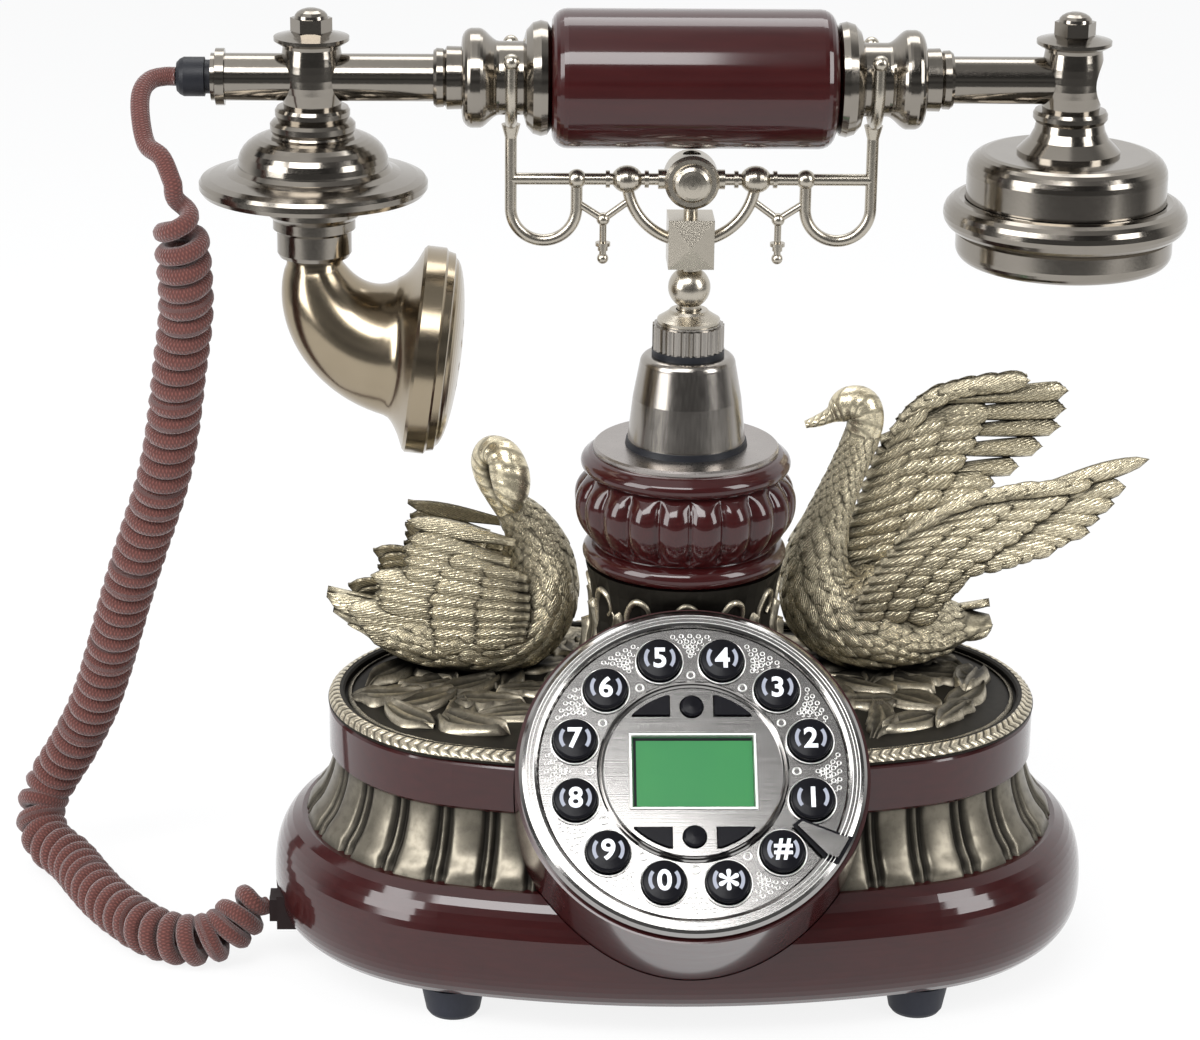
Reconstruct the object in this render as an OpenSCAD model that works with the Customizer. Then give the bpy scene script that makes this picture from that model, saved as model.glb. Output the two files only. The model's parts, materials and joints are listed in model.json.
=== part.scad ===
// Cradle telephone in the old French style: an oval base with two swans, a turned pedestal,
// a sprung cradle, a bar handset with a horn mouthpiece, and a round push-button dial.

/* [Base] */
// Half width of the oval at the wooden band
base_half_w = 92.6; // [88:0.2:98]
// Radius of the oval's end arcs at the wooden band
end_r = 45; // [42:0.5:47]
// Height of the rubber feet
foot_h = 8.5; // [7:0.5:12]
// Radius of a foot where it meets the base
foot_r = 8.5; // [6:0.5:9]
// Distance of a foot from the middle, sideways
foot_x = 60; // [50:1:66]
// Distance of a foot from the middle, front to back
foot_y = 43.5; // [36:0.5:44]
// Height of the bulging lower shell
shell_h = 30; // [27:1:34]
// How far the bulge stands out from the band
bulge_out = 15.2; // [13:0.2:17]
// Wall of the hollow base
wall = 3.5; // [2.5:0.5:4]
// Height of the fluted band
flute_h = 18; // [15:1:22]
// How far the foot of the fluted band stands out
flute_out = 6.6; // [5:0.2:7.4]
// Depth of a flute
flute_depth = 1.4; // [0.6:0.1:2]
// Number of tongues on each long side
flutes_front = 10; // [7:1:14]
// Number of tongues round each end
flutes_end = 9; // [6:1:12]
// Height of the wooden band
band_h = 13; // [10:1:16]
// Thickness of the bottom plate
bottom_t = 2.5; // [2:0.5:4]

/* [Top plate] */
// Thickness of the top plate
plate_t = 1.7; // [1.2:0.1:3]
// Height of the rim above the plate's upper side
rim_h = 1.4; // [0.8:0.1:2.4]
// Width of the sloping rim
rim_w = 3.4; // [2.4:0.2:5]

/* [Pedestal] */
// Height of the leaf-clad neck
neck_h = 37.3; // [33:0.1:42]
// Radius of the neck at its waist
neck_r = 23.4; // [22:0.2:25]
// Number of leaves round the neck
neck_leaves = 12; // [8:1:16]
// Radius of the ring under the bowl
low_ring_r = 26.5; // [25:0.5:28]
// Height of the ring under the bowl
low_ring_h = 5.3; // [4:0.1:7]
// Widest radius of the bowl
bowl_r = 29; // [27:0.5:31]
// Height of the bowl
bowl_h = 19.4; // [16:0.2:23]
// Number of lobes round the bowl
bowl_lobes = 20; // [14:1:26]
// Depth between two lobes
lobe_depth = 1.5; // [0.6:0.1:2.2]
// Radius of the ring over the bowl
top_ring_r = 27.2; // [25.5:0.1:29]
// Height of the ring over the bowl
top_ring_h = 5.3; // [4:0.1:7]
// Radius of the engraved disc
disc_r = 24; // [20:0.5:25]
// Thickness of the engraved disc
disc_t = 1.5; // [1:0.1:2.5]
// Radius of the cone at its foot
cone_foot_r = 15.2; // [14:0.2:17]
// Radius of the cone at its top
cone_top_r = 12.3; // [11:0.1:13.5]
// Height of the cone
cone_h = 22.5; // [18:0.5:27]
// Thickness of the black seal under the cone, and of the one under the collar
seal_t = 1.6; // [1:0.1:2.4]
// Radius of the knurled collar
collar_r = 9.2; // [8.4:0.1:10]
// Height of the knurled collar
collar_h = 7; // [5:0.5:10]
// Number of ridges on the knurled collar
knurl_count = 28; // [20:1:36]
// Height of the cap on the collar
cap_h = 3.3; // [2.5:0.1:5]

/* [Swans] */
// Height of the resting swan
left_swan_h = 66; // [58:1:72]
// Height of the rising swan
right_swan_h = 79; // [70:1:86]

/* [Cradle] */
// Radius of the stem that slides in the pedestal
stem_r = 3; // [2.4:0.1:3.6]
// Length of the stem below the ball
stem_len = 30; // [22:1:34]
// How far the cradle rises when the handset is lifted
hook_travel = 4; // [2:0.5:6]
// Radius of the ball on the stem
ball_r = 5.4; // [4.8:0.1:6]
// Width and depth of the block over the ball
block_w = 11.6; // [10:0.2:13]
// Height of the block
block_h = 12.7; // [11:0.1:15]
// Height of the pyramids on the block's faces
pyramid_h = 2.6; // [1.5:0.1:3.5]
// Radius of the cross hub
hub_r = 6.9; // [6:0.1:7.6]
// Length of the cross hub, front to back
hub_len = 9; // [7:0.5:12]
// Thickness of the cradle's rods
rod_d = 3; // [2.6:0.1:3.4]
// Distance of each fork from the middle
fork_x = 45.5; // [43:0.5:48]
// Distance of the inner leg of each loop from the middle
loop_x = 28.9; // [27:0.1:31]
// How far the loops hang under the crossbar, to the middle of the rod
loop_drop = 15.9; // [14:0.1:18]
// Radius of the bow under the hub
bow_r = 16.2; // [15:0.1:17]
// Height of the fork's prongs over the handset's axis
prong_h = 6.5; // [5:0.5:9]

/* [Handset] */
// Height of the handset's axis over the cradle's crossbar
handset_rise = 25.7; // [24:0.1:28]
// Radius of the wooden grip
grip_r = 17.4; // [15.5:0.1:18]
// Length of the wooden grip
grip_len = 71; // [66:1:74]
// Radius of the handset where the forks carry it
seat_r = 9.2; // [8.4:0.1:9.8]
// Radius of the bulbs beside the forks
bulb_r = 12.4; // [11:0.1:13.5]
// Radius of the tubes
tube_r = 5.9; // [5.4:0.1:6.4]
// Distance of each earpiece and mouthpiece axis from the middle
hub_x = 95; // [92:0.5:100]
// Length of the tube beyond the mouthpiece hub
tail_len = 21.5; // [19:0.5:26]
// Radius of the barrel-shaped hubs on the handset
barrel_r = 7.9; // [7.4:0.1:8.6]
// Radius of the mouthpiece's flat disc
mouth_disc_r = 28.7; // [26:0.1:31]
// Radius of the mouthpiece's dome
mouth_dome_r = 18.9; // [17:0.1:20.5]
// Bend radius of the horn
horn_bend = 22; // [20:0.5:25]
// Radius of the horn at its narrow end
horn_r1 = 7.1; // [6.4:0.1:8]
// Radius of the horn before its flare
horn_r2 = 17.8; // [16:0.1:19]
// Radius of the horn's mouth ring
horn_ring_r = 26.5; // [24:0.1:28]
// Width of the horn's mouth ring
horn_ring_w = 8; // [6:0.5:10]
// Radius of the earpiece's bell
bell_r = 25.3; // [23:0.1:27]
// Height of the earpiece's bell
bell_h = 16; // [14:0.5:19]
// Outer radius of the earpiece's round ring
ear_ring_r = 30.85; // [28.8:0.05:33]
// Radius of the earpiece's lower cup
ear_cup_r = 27.4; // [25.5:0.1:29]
// Height of the earpiece's lower cup
ear_cup_h = 12; // [10:0.5:14]

/* [Dial] */
// Angle of the dial's face from the vertical plane
dial_lean = 44; // [40:1:48]
// Distance of the dial's centre in front of the pedestal's axis
dial_out = 58; // [57:0.5:61]
// Height of the dial's centre over the underside of the shell
dial_up = 64.5; // [62:0.5:67]
// How far the dial housing stands out round the bezel
housing_lip = 1; // [0.6:0.1:3]
// Depth of the housing in front of the pedestal
housing_depth = 17.2; // [15:0.1:19]
// Outer radius of the bezel
bezel_r = 43.5; // [41.5:0.1:44]
// Width of the bezel
bezel_w = 4.8; // [4:0.1:5.4]
// How far the bezel stands over the housing
bezel_t = 2.8; // [2:0.1:4]
// Thickness of the dial plate
face_t = 1.5; // [1:0.1:2.2]
// Radius of a key
key_r = 5.45; // [4.8:0.05:5.7]
// Distance from a key to the bezel
key_inset = 2.55; // [2:0.05:3.2]
// How far a key stands out of the dial plate
key_out = 2.7; // [1.8:0.1:4]
// Travel of a key
key_travel = 1.2; // [0.8:0.1:1.6]
// Number of keys
key_count = 12;
// Width of the bright ring round the display
ring_w = 1.7; // [1.3:0.1:1.8]
// Distance from the display's glass to the bright ring at each side
lcd_side = 7.4; // [6:0.1:9]
// Distance from the display's glass to the round function keys
lcd_gap = 5.3; // [4.8:0.1:6]
// Distance from the middle of a function key to the bright ring
fn_inset = 5.1; // [4.8:0.1:5.6]
// Radius of the round function keys
fn_r = 2.8; // [2.2:0.1:3.1]

/* [Fits] */
// Gap between parts that move past each other
gap = 0.3; // [0.2:0.05:0.4]
// Gap between parts that are fixed together with a slip fit
slip = 0.2; // [0.1:0.05:0.3]
// Radial clearance of the stem in its guide
fit = 0.06; // [0.02:0.01:0.1]

/* [Cord] */
// Diameter of the braided cord
cord_d = 4.8; // [4.4:0.1:5.2]
// Outer diameter of the curly cord
curl_d = 14.4; // [12:0.2:14.4]

/* [Hidden] */
$fn = 96;
eps = 0.01;

// Heights of the stack, from the floor up
shell_z = foot_h;
flute_z = shell_z + shell_h;
band_z = flute_z + flute_h;
plate_z = band_z + band_h;
deck_z = plate_z + plate_t;
neck_top = deck_z + neck_h;
bowl_z = neck_top + low_ring_h;
top_ring_z = bowl_z + bowl_h;
disc_z = top_ring_z + top_ring_h;
cone_z = disc_z + disc_t + seal_t;
cone_top = cone_z + cone_h;
collar_z = cone_top + seal_t;
cap_z = collar_z + collar_h;
cap_top = cap_z + cap_h;
ball_z = cap_top + 0.4 + ball_r;
block_z = ball_z + ball_r + 0.7;
bar_z = block_z + block_h + 2.4 + hub_r;
axis_z = bar_z + handset_rise;

// The oval: two end arcs and two long arcs that meet without a corner, where the outline's
// normal goes 0.28 sideways and 0.96 forwards
join = [0.28, 0.96];
end_c = base_half_w - end_r;
long_r = end_r + end_c / join[0];
long_c = end_c / join[0] * join[1];
base_half_d = long_r - long_c;
long_half_angle = asin(join[0]);
end_half_angle = 90 - long_half_angle;

// The dial's place, and the middle of the whole phone's depth and width
dial_z = shell_z + dial_up;
dial_reach = dial_out + bezel_r * sin(dial_lean) + (bezel_t - 1.8) * cos(dial_lean);
place_y = (dial_reach - base_half_d - bulge_out) / 2;
place_x = (hub_x + tail_len + 12 - hub_x - ear_ring_r) / 2;
face_z = -0.3;
face_under = face_z - face_t;
face_r = bezel_r - bezel_w - slip;
housing_r = bezel_r + housing_lip;
key_ring_r = face_r - key_inset - key_r;
key_rim = 0.5;
inner_ring_r = key_ring_r - key_r - gap - key_rim - 0.15 - ring_w;
fn_y = inner_ring_r - fn_inset;
lcd_w = 2 * (inner_ring_r - lcd_side);
lcd_h = 2 * (fn_y - fn_r - lcd_gap);
fn_edge = lcd_w / 2 - slip;
mat_top = face_under - gap - 0.8 - key_travel - gap - 0.5;
mat_t = 1.2;
tray_z = mat_top - mat_t;
housing_end = face_under - housing_depth;
housing_tail = -38;
housing_wall = 4;

function lerp(a, b, t) = a + (b - a) * t;
function unit(v) = v / norm(v);
function smooth(t) = t * t * (3 - 2 * t);

// ---- shared shapes ----

// Sweeps a profile of outward offset and height round the oval: rings, each cut to its sector
module oval_sweep() {
    r = 500;
    for (side = [0, 180]) rotate(side) {
        intersection() {
            translate([end_c, 0, 0]) rotate_extrude() translate([end_r, 0]) children();
            sector([[end_c, 0], [end_c + r * join[0], -r * join[1]], [end_c + r, -r * join[1]],
                    [end_c + r, r * join[1]], [end_c + r * join[0], r * join[1]]]);
        }
        intersection() {
            translate([0, long_c, 0]) rotate_extrude($fn = 360) translate([long_r, 0]) children();
            sector([[0, long_c], [-r * join[0], long_c - r * join[1]],
                    [r * join[0], long_c - r * join[1]]]);
        }
    }
}
module sector(outline) { translate([0, 0, -10]) linear_extrude(60) polygon(outline); }

// A point of the oval at a share s of one of its four arcs, moved outwards by t
function arc_point(arc, s, t) =
    let (
        long = arc % 2 == 0,
        flip = arc < 2 ? 1 : -1,
        a = long ? lerp(-90 - long_half_angle, -90 + long_half_angle, s)
                 : lerp(-end_half_angle, end_half_angle, s),
        c = long ? [0, long_c] : [end_c, 0],
        r = (long ? long_r : end_r) + t
    ) flip * (c + r * [cos(a), sin(a)]);

// A flat plate in the shape of the oval, moved outwards by t
module oval_plate(t, h) {
    steps = 16;
    linear_extrude(h)
        polygon([for (arc = [0:3], i = [0:steps - 1]) arc_point(arc, i / steps, t)]);
}

// Faces of a lofted skin of rings with n points each, closed by flat ends
function loft_faces(rings, n) = concat(
    [for (i = [0:rings - 2], j = [0:n - 1])
        each [[i * n + j, (i + 1) * n + j, (i + 1) * n + (j + 1) % n],
              [i * n + j, (i + 1) * n + (j + 1) % n, i * n + (j + 1) % n]]],
    [[for (j = [0:n - 1]) j]],
    [[for (j = [n - 1:-1:0]) (rings - 1) * n + j]]
);

// A skin through rings of [x, y, z, half height, half width] along a path
module loft(stations, sides) {
    last = len(stations) - 1;
    points = [for (i = [0:last])
        let (
            s = stations[i],
            p = [s[0], s[1], s[2]],
            before = stations[max(i - 1, 0)],
            after = stations[min(i + 1, last)],
            d = unit([after[0] - before[0], after[1] - before[1], after[2] - before[2]]),
            side = unit(cross(d, abs(d[1]) > 0.9 ? [0, 0, 1] : [0, 1, 0])),
            other = cross(d, side)
        )
        for (j = [0:sides - 1])
            p + s[3] * cos(360 * j / sides) * side + s[4] * sin(360 * j / sides) * other];
    polyhedron(points, loft_faces(last + 1, sides));
}

// A rod with round section between two points
module rod(a, b, r) {
    v = b - a;
    translate(a)
        rotate([0, acos(v[2] / norm(v)), atan2(v[1], v[0])])
            cylinder(h = norm(v), r = r, $fn = 32);
}

// Points of a rounded step from one corner to another, for turned profiles
function quarter(cx, cy, rx, ry, from, to, n) =
    [for (i = [0:n]) let (a = lerp(from, to, i / n)) [cx + rx * cos(a), cy + ry * sin(a)]];

module on_dial() {
    translate([0, -dial_out, dial_z]) rotate([90 - dial_lean, 0, 0]) children();
}

module on_handset() { translate([0, 0, axis_z]) children(); }

// The room that the dial housing takes out of the base
module dial_room(back) {
    on_dial() translate([0, 0, back]) cylinder(h = 8 - back, r = housing_r + slip, $fn = 128);
}

// ---- base ----

shell_low = 12.5;
shell_high = shell_h - shell_low;
bulge_power = 2.4;
bulge_foot = 3.2;
function bulge(z) =
    let (
        dz = z - shell_low,
        share = dz > 0 ? dz / (shell_high * 1.046) : -dz / (shell_low * 1.046)
    ) bulge_foot + (bulge_out - bulge_foot) * pow(1 - pow(share, bulge_power), 1 / bulge_power);

module base_shell() {
    steps = 18;
    seat = bulge(0) - wall;
    color("#5a1512") difference() {
        translate([0, 0, shell_z]) oval_sweep() polygon(concat(
            [for (i = [0:steps]) [bulge(shell_h * i / steps), shell_h * i / steps]],
            [[-wall, shell_h], [-wall, shell_h - wall]],
            [for (i = [steps - 3:-3:3]) [bulge(shell_h * i / steps) - wall - 1, shell_h * i / steps]],
            [[seat - 2.5, bottom_t], [seat, bottom_t], [seat, 0]]
        ));
        dial_room(housing_tail - slip);
        jack_rooms();
    }
}

module bottom_plate() {
    color("#2b2826") translate([0, 0, shell_z]) oval_plate(bulge(0) - wall - slip, bottom_t);
}

module rubber_feet() {
    color("#2a323a") for (x = [-1, 1], y = [-1, 1])
        translate([x * foot_x, y * foot_y, 0]) {
            cylinder(h = 1, r1 = foot_r - 2.2, r2 = foot_r - 1.5, $fn = 48);
            translate([0, 0, 1]) cylinder(h = foot_h - 1, r1 = foot_r - 1.5, r2 = foot_r, $fn = 48);
        }
}

// Outward offset of the fluted band at a share of its height
function flute_line(h) = -1 + (flute_out + 1) * pow(1 - h, 2);
// Height of a round rib over its grooves, across the rib
function rib(s) = [0, 0.85, 1, 0.85][s];
// Places and heights across one tongue, its slot, the thin ridge beside it and the next slot
flute_steps = [[0, -0.5], [0.07, 0.35], [0.32, 0.5], [0.57, 0.35], [0.64, -0.5], [0.77, 0.2], [0.87, 0.2]];

module fluted_band() {
    levels = 4;
    ribs = [flutes_front, flutes_end, flutes_front, flutes_end];
    spots = [for (arc = [0:3], i = [0:ribs[arc] - 1], step = flute_steps)
        [arc, (i + step[0]) / ribs[arc], step[1]]];
    outer = [for (k = [0:levels], p = spots)
        let (
            h = k / levels,
            t = flute_line(h) + flute_depth * (1 - 0.5 * h) * p[2],
            q = arc_point(p[0], p[1], t)
        ) [q[0], q[1], flute_z + flute_h * h]];
    inner = [for (h = [1, 0], p = spots)
        let (q = arc_point(p[0], p[1], -1 - wall)) [q[0], q[1], flute_z + flute_h * h]];
    n = len(spots);
    rings = levels + 3;
    color("#6e6650") difference() {
        polyhedron(concat(outer, inner), [for (i = [0:rings - 1], j = [0:n - 1])
            let (a = i * n, b = ((i + 1) % rings) * n, k = (j + 1) % n)
            each [[a + j, b + j, b + k], [a + j, b + k, a + k]]]);
        dial_room(housing_tail - slip);
    }
}

module wood_band() {
    color("#5a1512") difference() {
        translate([0, 0, band_z]) oval_sweep() polygon([
            [-wall, 0], [-0.4, 0], [0.3, 0.8], [0.3, band_h - 0.8], [-0.4, band_h], [-wall, band_h]
        ]);
        dial_room(housing_tail - slip);
    }
}

module top_plate() {
    color("#6e6650") difference() {
        translate([0, 0, plate_z]) union() {
            oval_sweep() polygon([
                [-rim_w - 3.6, 0.4], [-rim_w - 1, 0.4], [-rim_w - 1, 0], [-0.2, 0], [0.5, 0.5],
                [0.5, 1], [1 - rim_w, plate_t + rim_h], [-rim_w, plate_t + rim_h],
                [-rim_w - 0.5, plate_t + rim_h - 0.5], [-rim_w - 0.5, plate_t - 0.5],
                [-rim_w - 3.6, plate_t - 0.5]
            ]);
            oval_plate(-rim_w - 1.8, plate_t);
        }
        dial_room(housing_end - slip);
        translate([0, 0, plate_z - eps]) cylinder(h = plate_t + 1, r = neck_bore, $fn = 64);
    }
}

// ---- swans ----

// A flat, pointed feather from a root to a tip
module feather(a, b, w, t) {
    m = lerp(a, b, 0.55);
    n = lerp(a, b, 0.88);
    hull() loft([
        [a[0], a[1], a[2], w * 0.45, t],
        [m[0], m[1], m[2], w * 0.55, t],
        [n[0], n[1], n[2], w * 0.36, t * 0.8],
        [b[0], b[1], b[2], w * 0.08, t * 0.3]
    ], 4);
}

// A row of feathers whose roots and tips run along two lines
module feather_row(root0, root1, tip0, tip1, count, w, t) {
    for (i = [0:count - 1]) {
        s = i / (count - 1);
        feather(lerp(root0, root1, s), lerp(tip0, tip1, s), w, t);
    }
}

swan_x = 58;
swan_y = 18;
swan_t = 1.1;

module left_swan() {
    color("#8f8256") translate([-swan_x, swan_y, deck_z]) scale(left_swan_h / 66) difference() {
        union() {
            loft([
                [-34, 0, 17, 1.2, 3], [-26, 0, 14.5, 4, 7.5], [-14, 0, 12, 9.5, 12],
                [0, 0, 11.5, 12.2, 14], [13, 0, 12.5, 13, 13], [22, 0, 17, 11.5, 10.5],
                [26, 0, 24, 9.5, 8], [27, 0, 32, 7.5, 6.5], [24, 0, 40, 5.8, 5.2],
                [19, 0, 47, 4.4, 4.2], [17.5, 0, 53, 4, 3.9], [15, 0, 59, 4.4, 4.1],
                [10.5, 0, 61.4, 4.8, 4.4], [6.8, 0, 58.5, 4.8, 4.4], [6.4, 0, 53, 3.6, 3.4],
                [8, 0, 48.5, 1.9, 2.2], [10.5, 0, 44.5, 0.9, 1.4]
            ], 12);
            for (side = [-1, 1]) {
                feather_row([12, side * 10, 31], [8, side * 12, 14],
                            [-13.5, side * 8, 41.5], [-29, side * 9, 14], 6, 9, swan_t);
                feather_row([16, side * 10.5, 29], [13, side * 12.5, 15],
                            [-4, side * 10.5, 34], [-14, side * 12.5, 13], 4, 8, swan_t);
                feather([-18, side * 3, 15], [-36, side * 2, 18 - side], 6, swan_t);
            }
        }
        translate([-60, -40, -20]) cube([120, 80, 20]);
    }
}

module right_swan() {
    color("#8f8256") translate([swan_x, swan_y, deck_z]) scale(right_swan_h / 79) difference() {
        union() {
            loft([
                [26, 0, 13, 1.2, 4], [18, 0, 12, 4.5, 8], [8, 0, 12, 10, 12],
                [-5, 0, 13, 13.2, 13.5], [-16, 0, 16.5, 13.5, 12], [-23, 0, 22, 11.5, 9.5],
                [-26, 0, 29, 8.8, 7.6], [-25.5, 0, 37, 6.8, 6.2], [-22.5, 0, 46, 5.2, 5],
                [-19, 0, 55, 4.4, 4.3], [-16, 0, 63, 4, 3.9], [-14.3, 0, 69, 4.2, 4],
                [-15.6, 0, 73.4, 4.9, 4.5], [-19.5, 0, 74.2, 4.6, 4.2], [-22.4, 0, 72, 2.6, 2.6],
                [-24.6, 0, 70.4, 1.2, 1.9], [-27.6, 0, 69.3, 0.8, 1.5]
            ], 12);
            loft([[-6, 8, 20, 9, 2.5], [-6, 10, 38, 9.5, 2.2], [-1, 13, 55, 8.5, 1.8],
                  [8, 15, 66, 6.5, 1.4], [22, 16, 71, 2.5, 1]], 8);
            feather_row([-2, 13, 66], [6, 12, 40], [42, 17, 74], [28, 14, 50], 6, 10, swan_t);
            feather_row([-6, 11.5, 54], [2, 9.5, 32], [18, 15.5, 64], [20, 12.5, 42], 4, 10, swan_t);
            loft([[0, -8, 20, 10, 3], [5, -10, 33, 11, 2.6], [18, -15, 43, 9, 2],
                  [34, -21, 50, 6.5, 1.6], [47, -25, 57, 3, 1.2]], 8);
            feather_row([34, -21, 53], [12, -12, 24], [58.5, -26, 68], [18, -12, 21], 8, 9, swan_t);
            feather_row([20, -16.5, 45], [3, -9.5, 22], [40, -23.5, 46], [8, -12.5, 8], 5, 9, swan_t);
            feather([12, 3, 12], [30, 4, 16], 7, swan_t);
            feather([12, -3, 11], [28, -4, 11], 7, swan_t);
        }
        translate([-60, -50, -20]) cube([130, 100, 20]);
    }
}

// ---- pedestal ----

neck_bore = 12;
neck_wall = 3;

// Radius of the neck at a share of its height, without its leaves
function neck_line(h) = neck_r + (h < 0.6 ? 7.2 * pow(1 - h / 0.6, 1.6) : 2.4 * pow((h - 0.6) / 0.4, 2));

module leaf_neck() {
    levels = 8;
    n = neck_leaves * 4;
    points = [for (k = [0:levels], j = [0:n - 1])
        let (
            h = k / levels,
            tip = h > 0.9 ? 0.2 : 0.5 + 0.9 * sin(180 * min(1, h / 0.9)),
            r = neck_line(h) + tip * (rib(j % 4) - 0.5),
            a = 360 * j / n
        ) [r * cos(a), r * sin(a), deck_z + neck_h * h]];
    color("#5e573f") difference() {
        polyhedron(points, loft_faces(levels + 1, n));
        dial_room(housing_end - slip);
        translate([0, 0, deck_z - eps]) cylinder(h = neck_h + 1, r = neck_bore, $fn = 64);
    }
}

function bowl_line(h) = bowl_r - lobe_depth / 2
    - (h < 0.58 ? (bowl_r - low_ring_r + 3.3) * pow(1 - h / 0.58, 2.2)
                : (bowl_r - top_ring_r + 3) * pow((h - 0.58) / 0.42, 2.4));

module pedestal_bowl() {
    levels = 8;
    n = bowl_lobes * 4;
    points = [for (k = [0:levels], j = [0:n - 1])
        let (
            h = k / levels,
            depth = lobe_depth * sin(180 * lerp(0.1, 0.9, h)),
            r = bowl_line(h) + depth * (rib(j % 4) - 0.5),
            a = 360 * j / n
        ) [r * cos(a), r * sin(a), bowl_z + bowl_h * h]];
    color("#5a1512") difference() {
        union() {
            polyhedron(points, loft_faces(levels + 1, n));
            translate([0, 0, neck_top]) rotate_extrude() polygon(concat(
                [[0, 0]],
                quarter(low_ring_r - low_ring_h / 2, low_ring_h / 2, low_ring_h / 2, low_ring_h / 2,
                        -90, 90, 10),
                [[low_ring_r - low_ring_h / 2 - 0.4, low_ring_h + 0.3], [0, low_ring_h + 0.3]]
            ));
            translate([0, 0, top_ring_z]) rotate_extrude() polygon(concat(
                [[0, -0.5], [disc_r + 0.8, -0.5]],
                quarter(top_ring_r - 2.2, 2.2, 2.2, 2.2, -90, 60, 8),
                quarter(disc_r + 0.6, top_ring_h - 1, 1, 1, 20, 90, 4),
                [[0, top_ring_h]]
            ));
        }
        translate([0, 0, neck_top - eps])
            cylinder(h = disc_z - neck_top + 1, r = neck_bore - 4, $fn = 64);
    }
}

module engraved_disc() {
    color("#9a958c") translate([0, 0, disc_z]) rotate_extrude() polygon([
        [stem_r + 1, 0], [disc_r, 0], [disc_r, disc_t - 0.5], [disc_r - 0.5, disc_t],
        [stem_r + 1, disc_t]
    ]);
}

module seal_rings() {
    color("#17181a") {
        translate([0, 0, disc_z + disc_t]) rotate_extrude() polygon([
            [cone_foot_r - 5, 0], [cone_foot_r + 0.6, 0], [cone_foot_r + 0.3, seal_t],
            [cone_foot_r - 5, seal_t]
        ]);
        translate([0, 0, cone_top]) rotate_extrude() polygon([
            [stem_r + 1, 0], [collar_r + 0.1, 0], [collar_r + 0.1, seal_t], [stem_r + 1, seal_t]
        ]);
    }
}

module cone() {
    cone_wall = 2.5;
    color("#7d786c") translate([0, 0, cone_z]) rotate_extrude() polygon(concat(
        [[cone_foot_r - cone_wall, 0], [cone_foot_r, 0],
         [lerp(cone_foot_r, cone_top_r, 0.5) + 0.2, cone_h * 0.5]],
        quarter(cone_top_r - 2, cone_h - 2.4, 2, 2.4, 5, 90, 8),
        [[stem_r + 1, cone_h], [stem_r + 1, cone_h - cone_wall],
         [cone_top_r - cone_wall - 1, cone_h - cone_wall]]
    ));
}

module knurled_collar() {
    ridge = 0.45;
    n = knurl_count * 4;
    color("#6f6b66") translate([0, 0, collar_z]) difference() {
        union() {
            linear_extrude(collar_h - 0.6) polygon([for (j = [0:n - 1])
                let (r = collar_r - (j % 4 < 2 ? 0 : ridge), a = 360 * j / n) r * [cos(a), sin(a)]]);
            cylinder(h = collar_h, r = collar_r - ridge - 0.4, $fn = 64);
        }
        translate([0, 0, -eps]) cylinder(h = collar_h + 1, r = stem_r + fit, $fn = 48);
    }
}

module collar_cap() {
    color("#8c877c") translate([0, 0, cap_z]) rotate_extrude() polygon([
        [stem_r + gap, 0], [collar_r - 1.2, 0], [collar_r - 1.2, 0.9], [collar_r - 2, 1.4],
        [stem_r + 2.4, cap_h - 0.7], [stem_r + 1.8, cap_h], [stem_r + gap, cap_h]
    ]);
}

// ---- jack sockets ----

socket_y = -14;
socket_z = foot_h + bottom_t + 4.9;
plug_w = 7.4;
plug_h = 6.2;
jack_wall = 1.4;
jack_len = 13;
jack_out = base_half_w + bulge(socket_z - shell_z) - 0.6;
line_jack_out = base_half_d + bulge(socket_z - shell_z) - 0.6;

// Places a jack with its mouth towards +X, at the handset cord's side and at the back
module at_handset_jack() {
    translate([-jack_out, socket_y, socket_z]) rotate(180) translate([-jack_len, 0, 0]) children();
}
module at_line_jack() {
    translate([0, line_jack_out, socket_z]) rotate(90) translate([-jack_len, 0, 0]) children();
}
module jack_block(grow) {
    w = plug_w + 2 * slip + 2 * jack_wall + 2 * grow;
    h = plug_h + 2 * slip + 2 * jack_wall + 2 * grow;
    translate([0, -w / 2, -h / 2]) cube([jack_len + (grow > 0 ? 6 : 0), w, h]);
}
module jack_rooms() {
    at_handset_jack() jack_block(slip / 2);
    at_line_jack() jack_block(slip / 2);
}
module jack() {
    difference() {
        jack_block(0);
        translate([jack_wall, -plug_w / 2 - slip, -plug_h / 2 - slip])
            cube([jack_len, plug_w + 2 * slip, plug_h + 2 * slip]);
    }
}
module jack_sockets() {
    color("#1c1b1b") {
        at_handset_jack() jack();
        at_line_jack() jack();
    }
}

// ---- dial ----

module dial_housing() {
    color("#5a1512") intersection() {
            on_dial() difference() {
                translate([0, 0, housing_tail])
                    cylinder(h = face_under - housing_tail, r = housing_r, $fn = 128);
                translate([0, 0, tray_z]) cylinder(h = 20, r = face_r - 1.4, $fn = 96);
                translate([0, 0, housing_tail - 1])
                    cylinder(h = tray_z - 2.5 - housing_tail + 1, r = housing_r - housing_wall, $fn = 96);
            }
            union() {
                on_dial() translate([-60, -60, housing_end]) cube([120, 120, 60]);
                translate([-60, -140, 0]) cube([120, 160, plate_z - 3]);
            }
    }
}

module dial_bezel() {
    color("#a9a7a2") on_dial() translate([0, 0, face_under]) rotate_extrude($fn = 128) polygon([
        [bezel_r - bezel_w, 0], [bezel_r, 0], [bezel_r, bezel_t - 1.2], [bezel_r - 0.8, bezel_t - 0.4],
        [bezel_r - 1.6, bezel_t], [bezel_r - bezel_w + 1, bezel_t],
        [bezel_r - bezel_w + 0.4, bezel_t - 0.3], [bezel_r - bezel_w, bezel_t - 0.9]
    ]);
}

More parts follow.
